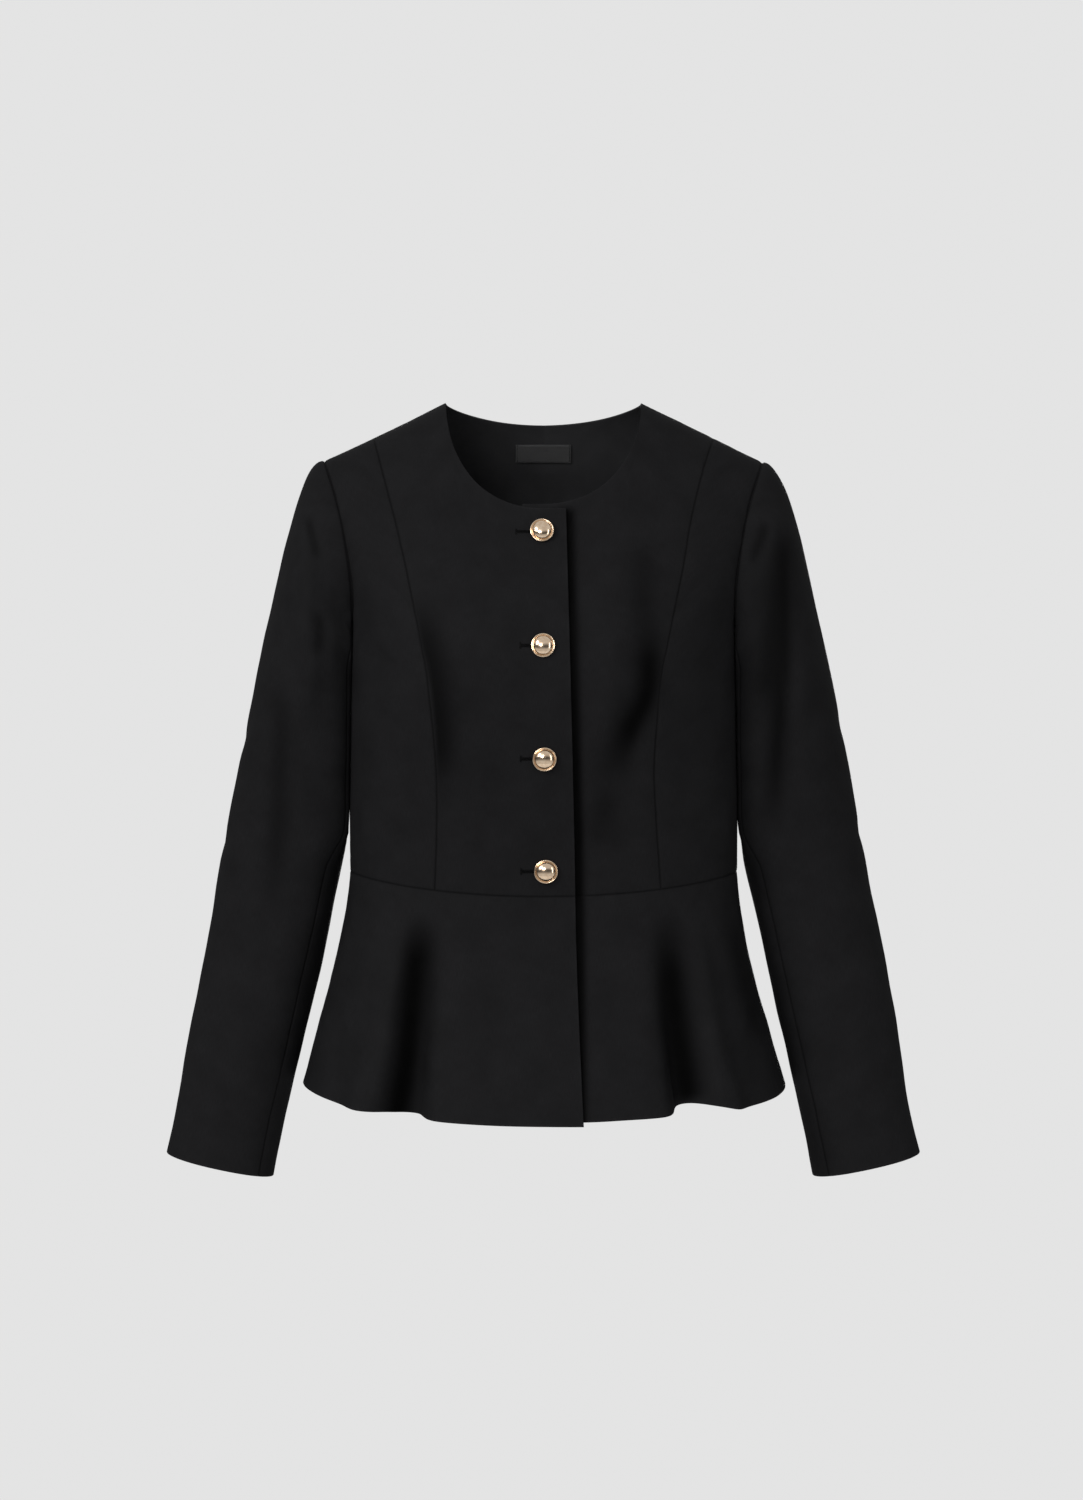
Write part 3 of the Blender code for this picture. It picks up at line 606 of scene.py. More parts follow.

# Shade values here are painted shade in the cloth's colour, as above.
sleeveCreases = (
    crease("front", (3, 4), 1.8, (-199, -91), (-195.5, -107), (-191, -122), (-187, -137), shade=0.5),
    crease("front", 4, -0.9, (-204, -84), (-203, -112), (-200, -140)),
    crease("front", 9, -3.0, (-199, -112), (-196, -160), (-195, -215), (-199, -290), start=0.2),
    crease("front", (6, 5), 1.6, (-188, -174), (-185, -194), (-187, -216), shade=0.32),
    crease("front", 9, 1.9, (-221, -222), (-220, -300), (-222, -370), (-228, -436), shade=0.4),
    crease("front", 8, -0.9, (-238, -262), (-240, -340), (-250, -430)),
    crease("front", 9, 1.4, (-254, -330), (-240, -362), (-212, -380)),
    crease("front", 8, 1.0, (-262, -450), (-246, -476), (-222, -486)),
    crease("front", (4, 5), 1.8, (187, -97), (182, -115), (176, -128), (171, -139), shade=0.5),
    crease("front", 5, -0.8, (193, -84), (191, -118), (182, -142)),
    crease("front", (14, 8), 1.2, (189, -112), (190, -170), (186, -226), (182, -276), shade=0.5),
    crease("front", (9, 8), 1.7, (201, -98), (202, -165), (199, -233), (195, -292), (193, -334), (195, -376),
           shade=0.7, start=0.12),
    crease("front", 7, -0.8, (181, -172), (179, -230), (178, -292)),
    crease("front", 9, -1.1, (218, -190), (216, -260), (222, -340)),
    crease("front", 9, 1.3, (258, -338), (236, -362), (206, -374)),
    crease("front", 8, 1.1, (272, -440), (248, -468), (222, -474)),
    crease("back", 10, 1.8, (-262, -330), (-230, -352), (-200, -356), shade=0.3),
    crease("back", 10, 1.7, (264, -338), (232, -356), (196, -350), shade=0.3),
    crease("back", 9, 1.2, (-272, -410), (-240, -424), (-212, -418)),
    crease("back", 9, 1.3, (274, -402), (244, -424), (214, -430)),
    crease("back", 11, 1.5, (-204, -110), (-214, -190), (-222, -280), shade=0.3),
    crease("back", 11, 1.4, (206, -112), (212, -186), (226, -270), shade=0.3),
    crease("right", 9, 1.2, (-30, -250), (0, -280), (34, -288)),
    crease("right", 9, 1.3, (-28, -352), (4, -368), (38, -366)),
    crease("left", 9, 1.1, (-30, -244), (2, -270), (36, -274)),
    crease("left", 9, 1.3, (-26, -346), (6, -360), (38, -356)),
)

creaseFacing = (0.05, 0.4)  # how far a place has to face the crease's view, and over how much it fades in
creaseEnd = 0.3  # share of a crease that fades at either end, if its row doesn't say


def alongLine(line, across, height, samples=24):
    # Signed distance from a line drawn downwards, positive on its right, and the share of the way along it.
    points = through(np.asarray(line, float) * mm, np.linspace(0, 1, samples))
    runs = np.diff(points, axis=0)
    lengths = np.linalg.norm(runs, axis=1)
    ends = np.concatenate([[0], np.cumsum(lengths)])
    nearest = np.full(np.shape(across), np.inf)
    share = np.zeros(np.shape(across))
    for (startX, startZ), (runX, runZ), length, before in zip(points[:-1], runs, lengths, ends):
        besideX, besideZ = across - startX, height - startZ
        t = np.clip((besideX * runX + besideZ * runZ) / length ** 2, 0, 1)
        distance = np.hypot(besideX - runX * t, besideZ - runZ * t)
        distance = np.where(runX * besideZ - runZ * besideX < 0, -distance, distance)
        closer = np.abs(distance) < np.abs(nearest)
        nearest = np.where(closer, distance, nearest)
        share = np.where(closer, (before + length * t) / ends[-1], share)
    return nearest, share


def creaseRelief(creases, points, normals):
    # How far the creases draw each point in along its normal, and the painted shade in them from 0 to 1.
    depth, shade = 0, 0
    for row in creases:
        (a, b), direction = views[row["view"]]
        facing = softStep((normals @ np.array(direction, float) - creaseFacing[0]) / creaseFacing[1])
        distance, share = alongLine(row["line"], points[..., a], points[..., b])
        left, right = row["spread"]
        profile = bell(distance, np.where(distance < 0, left, right) * mm, row.get("power", 2))
        profile = profile * softStep(share / row.get("start", creaseEnd))
        profile = profile * softStep((1 - share) / row.get("end", creaseEnd))
        depth = depth + row["depth"] * mm * profile * facing
        shade = shade + row.get("shade", 0) * profile * facing
    return depth, np.clip(shade, 0, 1)


def bodyFace(turn, z):
    # Outer face of the dressed body without its seams: point and normal.
    points, normals = torsoPoint(turn, z), torsoNormal(turn, z)
    depth, _ = creaseRelief(bodiceCreases, points, normals)
    return points + normals * (unevenness(points) - depth)[..., None], normals


# Slight waves of the whole cloth, and where it lies calm: round a button and beside the sleeves
clothWaves = (
    {"height": 0.22 * mm, "wave": 42 * mm, "seed": 3},
    {"height": 0.5 * mm, "wave": 120 * mm, "seed": 8},
)
calm = {"button": 16 * mm, "x": 165 * mm, "width": 9 * mm, "z": -300 * mm, "height": 130 * mm, "share": 0.85}


def unevenness(points):
    x, y, z = points[..., 0], points[..., 1], points[..., 2]
    relief = 0
    for part in clothWaves:
        relief = relief + part["height"] * softNoise(points, part["wave"], part["seed"])
    for buttonX, buttonZ in buttonPlaces:
        distance = np.hypot(x - buttonX, z - buttonZ)
        relief = relief * np.where(y < 0, 1 - bell(distance, calm["button"]), 1)
    beside = bell(np.abs(x) - calm["x"], calm["width"]) * bell(z - calm["z"], calm["height"], 4)
    return relief * (1 - calm["share"] * beside)


def softNoise(points, wavelength, seed, waves=14):
    # Smooth unevenness between about -1 and 1, the same for all pieces that meet at a place.
    random = np.random.default_rng(seed)
    total = 0
    for _ in range(waves):
        direction = unit(random.normal(size=3))
        reach = wavelength * random.uniform(0.7, 1.5)
        total = total + np.sin(points @ direction * (2 * pi / reach) + random.uniform(0, 2 * pi))
    return total / (waves / 2) ** 0.5


# Shells

edgeShares = (0.05, 0.16, 0.32, 0.6)  # extra lines in the first cell at each edge, as shares of the cell
edgeGap = (0.0004, 0.02)  # how far a shell stays inside its cut line, up and across, as shares of a cell
edgeRows = {
    "low": ((0, slice(None)), (1, slice(None))), "high": ((-1, slice(None)), (-2, slice(None))),
    "left": ((slice(None), 0), (slice(None), 1)), "right": ((slice(None), -1), (slice(None), -2)),
}


def edgeSteps(last):
    extra = np.array(edgeShares)
    return np.sort(np.concatenate([np.arange(last + 1), extra, last - extra]))


def withEdgeLines(grid):
    for axis in (0, 1):
        last = grid.shape[axis] - 1
        steps = edgeSteps(last)
        steps[0], steps[-1] = edgeGap[axis], last - edgeGap[axis]
        low = np.minimum(steps.astype(int), last - 1)
        part = (steps - low).reshape((-1, 1, 1) if axis == 0 else (1, -1, 1))
        grid = np.take(grid, low, axis) * (1 - part) + np.take(grid, low + 1, axis) * part
    return grid


def arcLengths(points, axis):
    steps = np.linalg.norm(np.diff(points, axis=axis), axis=-1)
    return np.concatenate([np.zeros_like(np.take(steps, [0], axis)), np.cumsum(steps, axis)], axis)


def edgeDistances(points):
    across, up = arcLengths(points, 1), arcLengths(points, 0)
    return {"low": up, "high": up[-1:] - up, "left": across, "right": across[:, -1:] - across}


# Seams: dip, swell and puckers of the cloth beside a seam, and the painted shade along it.
seam = {
    "dip": 0.45 * mm, "reach": 0.7 * mm, "swell": 0.3 * mm, "roll": 3.5 * mm, "pucker": 0.16 * mm,
    "puckerRoll": 1.6, "wave": 14 * mm, "seed": 21, "shade": 0.5, "shadeReach": 0.8 * mm,
}
freeEdge = {"radius": 0.46, "rub": 1.4 * mm}  # radius as a share of the thickness, and reach of its wear
hemFold = {"height": 0.5 * mm, "ease": 1.2 * mm}
seamAllowance = 2.2 * mm  # how far the inside of a shell reaches past a sewn edge, behind its neighbour
armholeAllowance = 6 * mm


def clothShell(
    name, points, normals, seams, creases, materials,
    thickness=wallThickness, hem=None, facing=None, waves=True, armholeEdge=None,
):
    # Closed shell: its seams sink, its free edges are round, and its face is creased and slightly uneven.
    # seams gives for each edge 1 where it is sewn, 0 where it is free, or an array of both along it, and hem
    # the depth of the fold at the low edge. The lining starts at the width that facing gives for an edge.
    distances = edgeDistances(points)
    depth, shade = creaseRelief(creases, points, normals)
    relief = (unevenness(points) if waves else 0) - depth
    puckers = softNoise(points, seam["wave"], seam["seed"])
    sunk, rounded, rub = (np.zeros(points.shape[:2]) for _ in range(3))
    radius = thickness * freeEdge["radius"]
    for edge, distance in distances.items():
        sewn = np.asarray(seams[edge], float)
        sewn = sewn.reshape((1, -1) if edge in ("low", "high") else (-1, 1))
        dip = seam["dip"] * bell(distance, seam["reach"]) + seam["swell"] * bell(distance, seam["roll"])
        dip = dip + seam["pucker"] * puckers * bell(distance, seam["puckerRoll"] * seam["roll"])
        inside = np.minimum(distance, radius)
        corner = radius - np.sqrt(radius ** 2 - (radius - inside) ** 2)
        sunk = np.where(sewn * dip > sunk, sewn * dip, sunk)
        rounded = np.maximum(rounded, (1 - sewn) * corner)
        rub = np.maximum(rub, (1 - sewn) * bell(distance, freeEdge["rub"]))
        # Painted shade along each sewn edge: a thin dark line in the colour where the seam would be shaded.
        shade = np.maximum(shade, seam["shade"] * sewn * bell(distance, seam["shadeReach"]))
    face = points + normals * (relief - sunk - rounded)[..., None]
    fold = 0
    if hem:
        fold = hemFold["height"] * softStep((hem - distances["low"]) / hemFold["ease"] + 0.5)
    lining = points + normals * (relief - thickness + rounded - fold)[..., None]
    for edge, (first, second) in edgeRows.items():
        sewn = np.broadcast_to(np.asarray(seams[edge], float), points[first].shape[:1])[:, None]
        reach = armholeAllowance if edge == armholeEdge else seamAllowance
        lining[first] = lining[first] + unit(points[first] - points[second]) * reach * sewn
    marks = {"rub": rub, "shade": shade}
    return shellObject(name, face, lining, normals, distances, marks, materials, facing)


def makeObject(name, vertices, faces, materials, cut=None, marks=None, sharp=None):
    # Smooth object. cut and marks hold a value for each vertex; edges over sharp degrees stay sharp.
    mesh = bpy.data.meshes.new(name)
    mesh.from_pydata(vertices, [], faces)
    for material in materials:
        mesh.materials.append(material)
    if cut is not None:
        layer = mesh.uv_layers.new(name="cut")
        layer.data.foreach_set("uv", cut[np.ravel(faces)].astype(np.float32).ravel())
    for mark, values in (marks or {}).items():
        attribute = mesh.attributes.new(mark, "FLOAT", "POINT")
        attribute.data.foreach_set("value", values.astype(np.float32))
    mesh.update()
    mesh.shade_smooth()
    if sharp:
        mesh.set_sharp_from_angle(angle=radians(sharp))
    thing = bpy.data.objects.new(name, mesh)
    bpy.context.scene.collection.objects.link(thing)
    return thing


def shellObject(name, face, lining, normals, distances, marks, materials, facing):
    rows, columns = face.shape[:2]
    count = rows * columns
    number = np.arange(count).reshape(rows, columns)
    quads = np.stack([number[:-1, :-1], number[:-1, 1:], number[1:, 1:], number[1:, :-1]], -1).reshape(-1, 4)
    rim = np.concatenate([number[0], number[1:, -1], number[-1, -2::-1], number[-2:0:-1, 0]])
    nextRim = np.roll(rim, -1)
    rimQuads = np.stack([nextRim, rim, rim + count, nextRim + count], -1)
    faces = np.vstack([quads, quads[:, ::-1] + count, rimQuads])
    flat = face.reshape(-1, 3)
    corner, beside, above = (flat[quads[0][k]] for k in (0, 1, 3))
    if np.dot(np.cross(beside - corner, above - corner), normals[0, 0]) < 0:
        faces = faces[:, ::-1]
    cut = np.stack([distances["left"], distances["low"]], -1).reshape(-1, 2)
    marks = {mark: np.concatenate([values.ravel(), 0 * values.ravel()]) for mark, values in marks.items()}
    vertices = np.vstack([flat, lining.reshape(-1, 3)])
    shell = makeObject(name, vertices, faces, materials, np.vstack([cut, cut]), marks, 50)
    if len(materials) > 1:
        near = np.full(face.shape[:2], np.inf)
        for edge, width in (facing or {}).items():
            near = np.minimum(near, distances[edge] - width)
        isLining = (near > 0)[:-1, :-1].ravel()
        slots = np.concatenate([np.zeros(len(quads)), isLining, np.zeros(len(rimQuads))]).astype(np.int32)
        shell.data.polygons.foreach_set("material_index", slots)
    return shell


# Materials

def addNode(tree, kind, **settings):
    node = tree.nodes.new(kind)
    for name, value in settings.items():
        setattr(node, name, value)
    return node


def mathNode(tree, operation, *values):
    node = addNode(tree, "ShaderNodeMath", operation=operation)
    for socket, value in zip(node.inputs, values):
        if isinstance(value, (int, float)):
            socket.default_value = value
        else:
            tree.links.new(value, socket)
    return node.outputs["Value"]


def noiseNode(tree, vector, scale, detail=3.0, roughness=0.55):
    node = addNode(tree, "ShaderNodeTexNoise")
    node.inputs["Scale"].default_value = scale
    node.inputs["Detail"].default_value = detail
    node.inputs["Roughness"].default_value = roughness
    tree.links.new(vector, node.inputs["Vector"])
    return node.outputs["Fac"]


def mapRange(tree, value, low, high, fromLow=0.0, fromHigh=1.0):
    node = addNode(tree, "ShaderNodeMapRange")
    tree.links.new(value, node.inputs["Value"])
    for name, number in (("From Min", fromLow), ("From Max", fromHigh), ("To Min", low), ("To Max", high)):
        node.inputs[name].default_value = number
    return node.outputs["Result"]


def mixColour(tree, amount, first, second):
    node = addNode(tree, "ShaderNodeMix", data_type="RGBA")
    tree.links.new(amount, node.inputs["Factor"])
    for socket, value in ((node.inputs[6], first), (node.inputs[7], second)):
        if isinstance(value, tuple):
            socket.default_value = (*value, 1)
        else:
            tree.links.new(value, socket)
    return node.outputs[2]


def stretchNode(tree, vector, factors):
    node = addNode(tree, "ShaderNodeVectorMath", operation="MULTIPLY")
    node.inputs[1].default_value = factors
    tree.links.new(vector, node.inputs[0])
    return node.outputs[0]


def bumpNode(tree, height, strength, distance):
    node = addNode(tree, "ShaderNodeBump")
    node.inputs["Strength"].default_value = strength
    node.inputs["Distance"].default_value = distance
    tree.links.new(height, node.inputs["Height"])
    return node


def newMaterial(name):
    material = bpy.data.materials.new(name)
    material.use_nodes = True
    return material, material.node_tree, material.node_tree.nodes["Principled BSDF"]


yarn = {"stretch": (0.9, 0.07, 1.0), "clouds": 34.0, "cloudDetail": 4.0}


def weaveGroup():
    # Woven threads on the cut map: their height, and slow and fast changes of tone from uneven yarn.
    group = bpy.data.node_groups.new("woven_cloth", "ShaderNodeTree")
    for socket in ("Threads", "Slant"):
        group.interface.new_socket(socket, in_out="INPUT", socket_type="NodeSocketFloat")
    for socket in ("Height", "Yarn", "Cloud"):
        group.interface.new_socket(socket, in_out="OUTPUT", socket_type="NodeSocketFloat")
    given = group.nodes.new("NodeGroupInput")
    out = group.nodes.new("NodeGroupOutput")
    cut = addNode(group, "ShaderNodeUVMap", uv_map="cut").outputs["UV"]
    scaled = addNode(group, "ShaderNodeVectorMath", operation="SCALE")
    group.links.new(given.outputs["Threads"], scaled.inputs["Scale"])
    group.links.new(cut, scaled.inputs[0])
    parts = group.nodes.new("ShaderNodeSeparateXYZ")
    group.links.new(scaled.outputs[0], parts.inputs[0])
    across = parts.outputs["X"]
    slanted = mathNode(group, "MULTIPLY", across, given.outputs["Slant"])
    along = mathNode(group, "ADD", parts.outputs["Y"], slanted)
    warp = mathNode(group, "SINE", mathNode(group, "MULTIPLY", across, pi))
    weft = mathNode(group, "SINE", mathNode(group, "MULTIPLY", along, pi))
    over = mathNode(group, "GREATER_THAN", mathNode(group, "MULTIPLY", warp, weft), 0.0)
    warpRound, weftRound = mathNode(group, "ABSOLUTE", warp), mathNode(group, "ABSOLUTE", weft)
    gap = mathNode(group, "SUBTRACT", warpRound, weftRound)
    height = mathNode(group, "ADD", weftRound, mathNode(group, "MULTIPLY", gap, over))
    group.links.new(height, out.inputs["Height"])
    fibres = stretchNode(group, scaled.outputs[0], yarn["stretch"])
    group.links.new(noiseNode(group, fibres, 1.0), out.inputs["Yarn"])
    group.links.new(noiseNode(group, cut, yarn["clouds"], yarn["cloudDetail"]), out.inputs["Cloud"])
    return group


wovenCloth = weaveGroup()
plainWeave = {"Threads": 1 / (0.45 * mm), "Slant": 0.0}  # threads in a metre, and slant of a twill
satinWeave = {"Threads": 1 / (0.22 * mm), "Slant": 0.5}

# How far the yarn's noise shows in the tone, in worn edges and in painted shade, and the relief of the cloth
clothNoise = {
    "tone": (0.12, 0.42), "worn": (0.35, 0.7), "cloud": (0.3, 0.7), "crease": 0.94,
    "threadRelief": 0.12 * mm, "cloudRelief": 0.25 * mm, "cloudStrength": 0.35,
}


def clothMaterial(name, weave, finish):
    # finish: tones of the yarn, of worn edges and of the painted shade in a crease, then how light lies on
    # the cloth
    material, tree, shader = newMaterial(name)
    woven = addNode(tree, "ShaderNodeGroup", node_tree=wovenCloth)
    for socket, value in weave.items():
        woven.inputs[socket].default_value = value
    cloud, noise = woven.outputs["Cloud"], clothNoise
    rub = addNode(tree, "ShaderNodeAttribute", attribute_name="rub").outputs["Fac"]
    tone = mathNode(tree, "MULTIPLY", woven.outputs["Yarn"], cloud)
    base = mixColour(tree, mapRange(tree, tone, 0.0, 1.0, *noise["tone"]), finish["dark"], finish["light"])
    worn = mathNode(tree, "MULTIPLY", rub, mapRange(tree, cloud, 0.0, finish["wear"], *noise["worn"]))
    base = mixColour(tree, worn, base, finish["worn"])
    # Painted shade: the shade attribute, high in creases, along seams, beside the lap and in buttonhole
    # slits, darkens the colour towards the painted shade tone.
    shade = addNode(tree, "ShaderNodeAttribute", attribute_name="shade").outputs["Fac"]
    shaded = mathNode(tree, "MULTIPLY", shade, mapRange(tree, cloud, noise["crease"], 1.0, *noise["cloud"]))
    tree.links.new(mixColour(tree, shaded, base, finish["paintedShadeTone"]), shader.inputs["Base Color"])
    rough = mapRange(tree, cloud, *finish["roughness"], *noise["cloud"])
    tree.links.new(rough, shader.inputs["Roughness"])
    shader.inputs["Specular IOR Level"].default_value = finish["specular"]
    shader.inputs["Sheen Weight"].default_value = finish["sheen"]
    shader.inputs["Sheen Roughness"].default_value = finish["sheenRoughness"]
    threads = bumpNode(tree, woven.outputs["Height"], finish["relief"], noise["threadRelief"])
    clouds = bumpNode(tree, cloud, noise["cloudStrength"], noise["cloudRelief"])
    tree.links.new(threads.outputs["Normal"], clouds.inputs["Normal"])
    tree.links.new(clouds.outputs["Normal"], shader.inputs["Normal"])
    return material


suiting = clothMaterial("suiting", plainWeave, {
    "dark": (0.0084, 0.0083, 0.0088), "light": (0.0122, 0.0121, 0.0129), "worn": (0.018, 0.0178, 0.0188),
    "paintedShadeTone": (0.0004, 0.0004, 0.0004), "wear": 0.6, "roughness": (0.6, 0.7), "specular": 0.025,
    "sheen": 0.003, "sheenRoughness": 0.45, "relief": 0.3,
})
# Satin lining. Its tones are set lighter than the suiting's as painted light, lifting the inside of the
# jacket, which the lamps reach little.
liningSatin = clothMaterial("lining_satin", satinWeave, {
    "dark": (0.0145, 0.0145, 0.0154), "light": (0.0205, 0.0205, 0.0218), "worn": (0.024, 0.024, 0.025),
    "paintedShadeTone": (0.002, 0.002, 0.002), "wear": 0.2, "roughness": (0.46, 0.58), "specular": 0.12,
    "sheen": 0.02, "sheenRoughness": 0.3, "relief": 0.3,
})
labelSatin = clothMaterial("label_satin", satinWeave, {
    "dark": (0.0195, 0.0195, 0.0200), "light": (0.0295, 0.0295, 0.0303), "worn": (0.026, 0.026, 0.0268),
    "paintedShadeTone": (0.004, 0.004, 0.004), "wear": 0.5, "roughness": (0.38, 0.5), "specular": 0.35,
    "sheen": 0.0, "sheenRoughness": 0.3, "relief": 0.6,
})
threadSilk = clothMaterial("thread_silk", satinWeave, {
    "dark": (0.0016, 0.0016, 0.0018), "light": (0.0034, 0.0034, 0.0038), "worn": (0.004, 0.004, 0.0043),
    "paintedShadeTone": (0.0004, 0.0004, 0.0004), "wear": 0.0, "roughness": (0.42, 0.55), "specular": 0.07,
    "sheen": 0.0, "sheenRoughness": 0.3, "relief": 0.2,
})

goldPolish = {
    "light": (0.92, 0.74, 0.55), "dark": (0.74, 0.53, 0.36), "roughness": (0.10, 0.26), "cloud": (0.3, 0.75),
    "patches": (420.0, 4.0), "marks": (2600.0, 5.0, 0.7), "stretch": (1.0, 0.2, 3.0),
    "bump": 0.03, "relief": 0.03 * mm,
}


def goldMaterial():
    # Polished pale rose gold with fine rubbing marks and a few duller patches.
    material, tree, shader = newMaterial("button_gold_polish")
    spot = addNode(tree, "ShaderNodeTexCoord").outputs["Object"]
    patches = noiseNode(tree, spot, *goldPolish["patches"])
    marks = noiseNode(tree, stretchNode(tree, spot, goldPolish["stretch"]), *goldPolish["marks"])
    amount = mapRange(tree, patches, 0, 1, *goldPolish["cloud"])
    colour = mixColour(tree, amount, goldPolish["light"], goldPolish["dark"])
    tree.links.new(colour, shader.inputs["Base Color"])
    rough = mapRange(tree, marks, *goldPolish["roughness"], *goldPolish["cloud"])
    tree.links.new(rough, shader.inputs["Roughness"])
    shader.inputs["Metallic"].default_value = 1.0
    bump = bumpNode(tree, marks, goldPolish["bump"], goldPolish["relief"])
    tree.links.new(bump.outputs["Normal"], shader.inputs["Normal"])
    return material


gold = goldMaterial()
print("materials made")


# Cloth pieces

sideOf = {"right": -1, "left": 1}
hemDepth = {"peplum": 32 * mm, "sleeve": 34 * mm}
frontFacing = {"left": 62 * mm, "high": 55 * mm}
made = {}


def wear(piece, node):
    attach(piece, "root")
    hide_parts(node)
    made[node] = piece


def clothPiece(node, points, normals, seams, creases, hem=None, facing=None, armholeEdge=None):
    if hem:
        facing = {"low": hem}
    piece = clothShell(
        node + "_cloth", points, normals, seams, creases, (suiting, liningSatin),
        hem=hem, facing=facing, armholeEdge=armholeEdge,
    )
    wear(piece, node)


def edgeWeights(columns, sewnFrom, sewnTo):
    # 1 along an edge between two column numbers of the solid and 0 on the rest, after withEdgeLines.
    steps = edgeSteps(columns - 1 - 2 * len(edgeShares)) / fine
    return np.logical_and(steps >= sewnFrom, steps <= sewnTo).astype(float)


def torsoPanel(node, hand, places, seams, facing=None, armholeEdge=None):
    side = sideOf[hand]
    places = withEdgeLines(places)
    turn, z = places[..., 0], places[..., 1]
    normals = torsoNormal(side * turn, z)
    normals[0] = levelNormal(side * turn[0])
    points = torsoPoint(side * turn, z) - normals * lapInset(turn, hand)[..., None]
    if isinstance(seams["high"], tuple):
        seams = dict(seams, high=edgeWeights(points.shape[1], *seams["high"]))
    creases = bodiceCreases + ((lapShadow,) if hand == "left" else ())
    clothPiece(node, points, normals, seams, creases, facing=facing, armholeEdge=armholeEdge)


def peplumPanel(node, hand, firstTurn, lastTurn, columns, seams, downStep=0.01, levelShare=0.06):
    side = sideOf[hand]
    turns = np.linspace(firstTurn, lastTurn, columns + 1)
    grid = withEdgeLines(np.stack(np.meshgrid(turns, cells(1, 0, "peplumRows")), -1))
    turn, down = grid[..., 0], grid[..., 1]
    normals = surfaceNormal(lambda u, v: peplumPoint(u, v, hand), side * turn, down, turnStep, downStep)
    level = levelNormal(side * turn)
    normals = np.where((np.sum(normals * level, -1) < 0)[..., None], -normals, normals)
    blend = softStep(1 - down / levelShare)[..., None]
    normals = unit(normals * (1 - blend) + level * blend)
    points = peplumPoint(side * turn, down, hand) - normals * lapInset(turn, hand)[..., None]
    creases = peplumCreases + ((lapShadow,) if hand == "left" else ())
    clothPiece(node, points, normals, seams, creases, hem=hemDepth["peplum"])


def sleevePart(node, side, loop, firstColumn, lastColumn, step=0.004):
    columns = np.linspace(firstColumn, lastColumn, (lastColumn - firstColumn) * fine + 1)
    lastRow = sleeveCut["capRows"] + sleeveCut["tubeRows"]
    rows = np.linspace(lastRow, 0, lastRow * fine + 1)
    grid = withEdgeLines(np.stack(np.meshgrid(columns / sleeveCut["columns"], rows), -1))
    around, row = grid[..., 0], np.clip(grid[..., 1], step, lastRow - step)
    points = sleevePoint(side, loop, around, row)
    normals = surfaceNormal(lambda u, v: sleevePoint(side, loop, u, v), around, row, step, step) * side
    seams = {"low": 0, "high": 1, "left": 1, "right": 1}
    clothPiece(node, points, normals, seams, sleeveCreases, hem=hemDepth["sleeve"])


frontSeams = {"low": 1, "high": (counts["neck"], 99), "left": 0, "right": 1}
sideSeams = {"low": 1, "high": 1, "left": 1, "right": 1}
backSeams = {"low": 1, "high": (0, counts["side"] + counts["shoulder"]), "left": 1, "right": 1}
frontPeplumSeams = {"low": 0, "high": 1, "left": 0, "right": 1}
backPeplumSeams = {"low": 0, "high": 1, "left": 1, "right": 1}
peplumColumns = {"front": 150, "back": 220}
for hand in ("right", "left"):
    torsoPanel(f"front_{hand}_centre", hand, frontCentrePlaces(hand), frontSeams, frontFacing)
    torsoPanel(f"front_{hand}_side", hand, frontSidePlaces(hand), sideSeams, armholeEdge="right")
    torsoPanel(f"back_{hand}", hand, backPlaces(), backSeams, armholeEdge="left")
    start = float(edgePlace(hand, frontEdgeCut["foot"])[0])
    peplumPanel(f"peplum_front_{hand}", hand, start, pi / 2, peplumColumns["front"], frontPeplumSeams)
    side = sideOf[hand]
    loop = armholeLoop(side)
    firstSeam, secondSeam = sleeveCut["frontSeam"], sleeveCut["backSeam"]
    sleevePart(f"sleeve_{hand}_upper", side, loop, secondSeam - sleeveCut["columns"], firstSeam)
    sleevePart(f"sleeve_{hand}_under", side, loop, firstSeam, secondSeam)
peplumPanel("peplum_back", "left", pi / 2, 3 * pi / 2, peplumColumns["back"], backPeplumSeams)
print("cloth made")

# Width, length and area that each piece of cloth was cut to, in metres, and what it hangs on
cuts = {
    "front_right_centre": (0.254, 0.460, 0.0490, ("front_right_side", "front_left_centre", "back_right")),
    "front_left_centre": (0.248, 0.459, 0.0489, ("front_left_side", "back_left")),
    "front_right_side": (0.140, 0.430, 0.0366, ("front_right_centre", "back_right")),
    "front_left_side": (0.138, 0.429, 0.0357, ("front_left_centre", "back_left")),
    "back_right": (0.223, 0.435, 0.0772, ("front_right_centre", "front_right_side", "back_left")),
    "back_left": (0.223, 0.435, 0.0772, ("front_left_centre", "front_left_side", "back_right")),
    "peplum_front_right": (0.326, 0.194, 0.0512, ("front_right_centre", "front_right_side")),
    "peplum_front_left": (0.322, 0.193, 0.0496, ("front_left_centre", "front_left_side")),
    "peplum_back": (0.562, 0.196, 0.0879, ("back_right", "back_left")),
    "sleeve_right_upper": (0.292, 0.601, 0.1114, ("front_right_side", "back_right")),
    "sleeve_right_under": (0.142, 0.511, 0.0427, ("sleeve_right_upper", "front_right_side")),
    "sleeve_left_upper": (0.292, 0.601, 0.1114, ("front_left_side", "back_left")),
    "sleeve_left_under": (0.142, 0.511, 0.0427, ("sleeve_left_upper", "front_left_side")),
}
for node, (width, length, area, holders) in cuts.items():
    holders = [made[holder].name for holder in holders]


# Buttons, turned round their own axis, with radius and height over the cloth in millimetres

